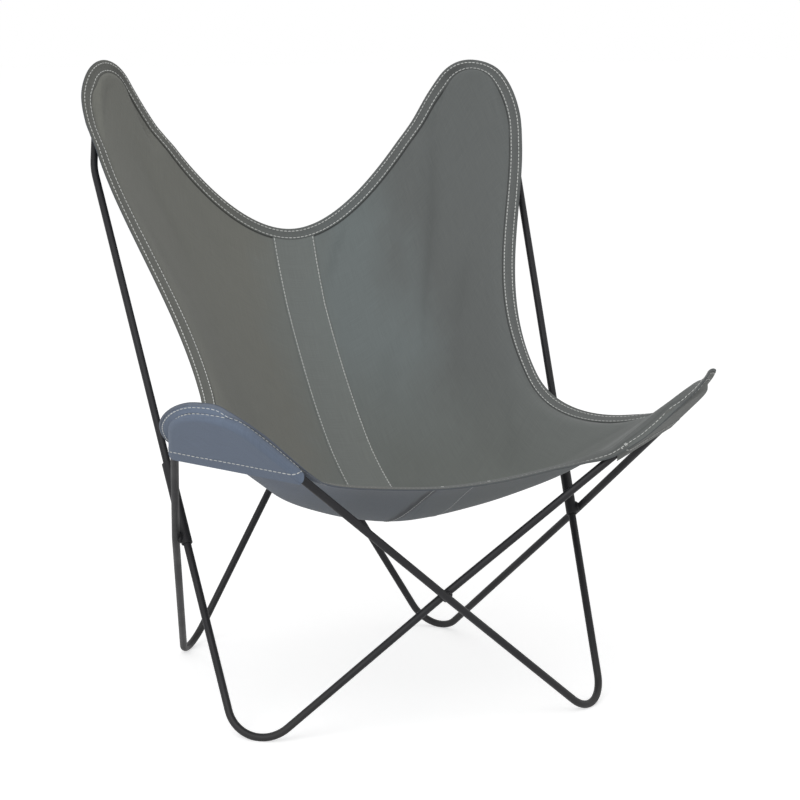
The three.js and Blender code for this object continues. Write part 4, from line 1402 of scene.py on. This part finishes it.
# Stitches: one thread loop modelled once and copied along each row
stitchLook = {"pitch": 6.5, "length": 5.7, "wide": 1.7, "high": 1.1, "smoothAngle": 80}
deselectAll()
bpy.ops.mesh.primitive_uv_sphere_add(segments=6, ring_count=4, radius=0.5)
stitchForm = bpy.context.object
stitchPoints = np.array([vertex.co for vertex in stitchForm.data.vertices])[:, [2, 0, 1]]
stitchPoints = stitchPoints * vec(stitchLook["length"], stitchLook["wide"], stitchLook["high"])
stitchFaces = [list(face.vertices) for face in stitchForm.data.polygons]
bpy.data.objects.remove(stitchForm)
seams = {}


def stitchAlong(seam, line, normal):
    run = runAlong(line)
    count = int(run[-1] / stitchLook["pitch"])
    if count < 1:
        return
    spots = (np.arange(count) + 0.5) * run[-1] / count
    at = pointsAt(spots, run, line)
    up = unit(pointsAt(spots, run, normal))
    way = unit(pointsAt(spots + 1, run, line) - pointsAt(spots - 1, run, line))
    across = unit(np.cross(up, way))
    axes = np.stack([way, across, np.cross(way, across)], 1)
    seams.setdefault(seam, []).append(at[:, None] + stitchPoints @ axes)


def sewSeams():
    made = []
    for seam, groups in seams.items():
        points = np.concatenate(groups)
        starts = range(0, len(points) * len(stitchPoints), len(stitchPoints))
        every = [[corner + start for corner in face] for start in starts for face in stitchFaces]
        piece = meshPiece(seam, points, every)
        faceOutward(piece)
        smoothShade(piece, stitchLook["smoothAngle"])
        finishPiece(piece, "canvas", underThread if "under" in seam.lower() else topThread)
        made.append(piece)
        print("  ", seam, len(points), "stitches")
    return made


hemRows = {"outer": (4.4, 2.1), "inner": (16.0, 2.5)}
innerAgain = 240  # mm past the front tip where the inner row shows again
# The right front lobe's row runs nearer to its edge: shift in mm, lift for each mm of it, and mm from the tip
edgeRow = {"shift": 2.4, "lift": 0.5, "begins": (40, 65), "ends": (215, 190)}
# The rows lie deeper along the front edge: depth in mm, and rim steps past the tip
frontSink = {"deep": 0.6, "from": (40, 60)}
underLift = slingCut["thickness"] / 2 + 0.1


def stretches(keep):
    ends = np.flatnonzero(np.diff(np.concatenate([[0], keep.astype(int), [0]])))
    return [(start, stop) for start, stop in zip(ends[::2], ends[1::2]) if stop - start > 2]


# The hem's rows show under the sling too, except where a pocket covers them
def sewHemRows(word, side):
    bare = np.ones(rimCount, bool)
    for horn in horns:
        spot = pocketNets[horn, side]["spot"]
        bare[int(math.ceil(spot.min())):int(spot.max()) + 1] = False
    ridged = flatShare() < 0.5
    away = rim["run"] - rim["run"][rim["frontTip"]]
    nearer = edgeRow["shift"] * smoothStep(*edgeRow["begins"], away) * smoothStep(*edgeRow["ends"], away)
    sunk = frontSink["deep"] * smoothStep(*frontSink["from"], np.arange(rimCount) - rim["frontTip"])
    for row, (width, lift) in hemRows.items():
        shift = nearer * (row == "outer" and side > 0)
        u, v = insetPlace(width - shift)
        normal = mirrored(sheetNormal(u, v), side)
        top = slingPoint(side, u, v, lift - sunk + edgeRow["lift"] * shift)
        under = slingPoint(side, u, v, np.full(rimCount, -underLift))
        for start, stop in stretches(ridged & ((away < 0) | (away > innerAgain)) | (row == "outer")):
            stitchAlong("hemStitches" + word, top[start:stop], normal[start:stop])
        for start, stop in stretches(bare):
            stitchAlong("underStitches" + word, under[start:stop], -normal[start:stop])


# Bar tacks: two short rows across the hem at the ends of the front pocket and of the band
tackLook = {
    "band": (3.0, 13.0), "pocket": (0.4, 4.0), "apart": 0.25, "lift": 2.7, "steps": 8, "pocketShort": 2,
    "search": 60,
}


def sewTacks(word, side):
    ends = np.arange(rimCount - tackLook["search"], rimCount)
    edge = bandCut["rightEdge" if side > 0 else "leftEdge"][-1][1]
    atBand = np.interp(edge, rim["at"][ends, 0][::-1], ends[::-1])
    atPocket = pocketNets["front", side]["spot"].max() - tackLook["pocketShort"]
    steps = tackLook["steps"]
    for end, spot in (("pocket", atPocket), ("band", atBand)):
        for shift in (-tackLook["apart"], tackLook["apart"]):
            u, v = insetPlace(np.linspace(*tackLook[end], steps), np.full(steps, spot + shift))
            line = slingPoint(side, u, v, np.full(steps, tackLook["lift"]))
            stitchAlong("hemStitches" + word, line, mirrored(sheetNormal(u, v), side))


# Pocket rows in mm: the outer row at its width or a share of the seam, the inner one off the seam's inside
# where the seam is wide enough, a short row across the pocket's end and one along its mouth
pocketRows = {
    "outer": 4.4, "outerShare": 0.55, "inner": 2.0, "innerNeeds": 8.0, "innerDeep": 0.4, "lift": 0.15,
    "endInset": 1.0, "endSteps": 6, "endSpot": 0.4, "mouthClear": 3.0, "mouthLift": 0.3,
}


def sewPocketRows(word, side, horn):
    pocket, look = pocketNets[horn, side], pocketRows
    seam, spot = pocket["seam"], pocket["spot"]
    low = flatDepth + pocketCut["thickness"] / 2 + look["lift"]

    def sewUnder(width, places, depth, keep):
        u, v = insetPlace(width, places)
        line, normal = sheetPoint(side, u, v, -depth), -sheetNormal(u, v)
        stitchAlong("pocketStitches" + word, mirrored(line, side)[keep], mirrored(normal, side)[keep])

    sewUnder(np.minimum(look["outer"], seam * look["outerShare"]), spot, low, seam > 0)
    sewUnder(seam - look["inner"], spot, low + look["innerDeep"], seam > look["innerNeeds"])
    steps, inset = look["endSteps"], look["endInset"]
    across = np.linspace(pocketCut["seamInset"] + inset, seam[0] - inset, steps)
    sewUnder(across, np.full(steps, spot[0] + look["endSpot"]), low, slice(None))
    net = pocket["net"][::-1]
    out = np.cross(np.gradient(net, axis=0), np.gradient(net, axis=1))
    out = unit(out * np.sign(-dot(out, pocket["up"]).sum()))
    path = np.cumsum(np.linalg.norm(np.diff(net, axis=0, prepend=net[:1]), axis=2), axis=0)
    keep = path[-pocketCut["flatRows"]] > pocketCut["mouthHem"] + look["mouthClear"]
    line, normal = (
        np.stack([
            pointsAt(pocketCut["mouthHem"], path[:, column], field[:, column])
            for column in np.flatnonzero(keep)])
        for field in (net, out))
    line = line + unit(normal) * (pocketCut["thickness"] / 2 + look["mouthLift"])
    stitchAlong("pocketStitches" + word, mirrored(line, side), mirrored(normal, side))


for word, side in sides:
    sewHemRows(word, side)
    sewTacks(word, side)
    for horn in horns:
        sewPocketRows(word, side, horn)
bandRun = np.linspace(0, 1, bandCut["stitchSteps"])
bandTop = slingCut["thickness"] / 2 + bandCut["thickness"] + bandCut["stitchLift"]
for t in (-1, 1):
    place = np.full(bandRun.shape, t * (1 - bandCut["stitchInset"] / bandCut["halfWidth"]))
    normal = mirrored(sheetNormal(*bandPlace(place, bandRun)), t)
    for seam, lift in (("bandStitches", bandTop), ("bandUnderStitches", -underLift)):
        line = bandPoint(place, bandRun, np.full(bandRun.shape, lift))
        stitchAlong(seam, line, normal * np.sign(lift))
stitching = sewSeams()
print("seams stitched:", len(stitching))


# Each pocket piece is looked up in turn, and nothing more is done with it
for word, side in sides:
    for horn in horns:
        piece = pockets[horn, side]


def placeObject(data, at, way):
    holder = bpy.data.objects.new(data.name, data)
    bpy.context.scene.collection.objects.link(holder)
    holder.location = at
    holder.rotation_mode = "QUATERNION"
    holder.rotation_quaternion = way.to_track_quat("-Z", "Y")
    return holder


# Camera: the photograph's place and angle, found from the rods
cameraPlace = {
    "at": vec(-1211.7, -3457.2, 1012.0), "azimuth": -20.1, "elevation": 9.2, "lens": 113.65, "sensor": 36.0,
    "farEnd": 100,
}


def setCamera():
    azimuth, elevation = (math.radians(cameraPlace[key]) for key in ("azimuth", "elevation"))
    level = math.cos(elevation)
    back = Vector((math.sin(azimuth) * level, -math.cos(azimuth) * level, math.sin(elevation)))
    lens = bpy.data.cameras.new("photoCamera")
    lens.lens = cameraPlace["lens"]
    lens.sensor_width = cameraPlace["sensor"]
    lens.clip_end = cameraPlace["farEnd"]
    bpy.context.scene.camera = placeObject(lens, toPart(cameraPlace["at"]), -back)


# Studio: a soft bright room, three large soft lamps and a pale floor
studio = {
    "room": 0.62,
    "lamps": [
        {"name": "keyLamp", "at": (-2.4, -3.0, 3.6), "size": 3.0, "power": 70.0},
        {"name": "topLamp", "at": (1.2, 0.6, 4.2), "size": 3.0, "power": 10.0},
        {"name": "fillLamp", "at": (-2.6, -3.4, 0.9), "size": 2.6, "power": 45.0},
    ],
    "aim": (0, 0, 0.45),
    "floorSize": 60.0,
    "floorGrey": (0.72, 0.72, 0.72, 1),
    "floorGlow": 0.56,
}


def seenRay(tree):
    path = addNode(tree, "ShaderNodeLightPath")
    seen = math2(tree, "MAXIMUM", path.outputs["Is Camera Ray"], path.outputs["Is Glossy Ray"])
    return math2(tree, "MAXIMUM", seen, path.outputs["Is Transmission Ray"])


def setStudio():
    world = bpy.data.worlds.new("studioRoom")
    world.use_nodes = True
    bpy.context.scene.world = world
    tree = world.node_tree
    level = remap(tree, seenRay(tree), 0.0, 1.0, studio["room"], 1.0)
    setInputs(tree, tree.nodes["Background"], {"Color": (1, 1, 1, 1), "Strength": level})
    for lamp in studio["lamps"]:
        light = bpy.data.lights.new(lamp["name"], "AREA")
        light.energy = lamp["power"]
        light.size = lamp["size"]
        placeObject(light, lamp["at"], Vector(studio["aim"]) - Vector(lamp["at"]))
    deselectAll()
    bpy.ops.mesh.primitive_plane_add(size=studio["floorSize"], location=(0, 0, 0))
    floor = bpy.context.object
    floor.name = "studioFloor"
    paint, tree, shader = newMaterial("floorPaint")
    tree.nodes.remove(shader)
    matt, glow, both = (addNode(tree, "ShaderNode" + kind) for kind in ("BsdfDiffuse", "Emission", "AddShader"))
    setInputs(tree, matt, {"Color": studio["floorGrey"]})
    setInputs(tree, glow, {"Strength": math2(tree, "MULTIPLY", seenRay(tree), studio["floorGlow"])})
    setInputs(tree, both, {0: matt.outputs[0], 1: glow.outputs[0]})
    setInputs(tree, tree.nodes["Material Output"], {"Surface": both.outputs[0]})
    floor.data.materials.append(paint)
    bpy.context.scene.view_settings.view_transform = "Standard"


setCamera()
setStudio()
print("camera and studio set")
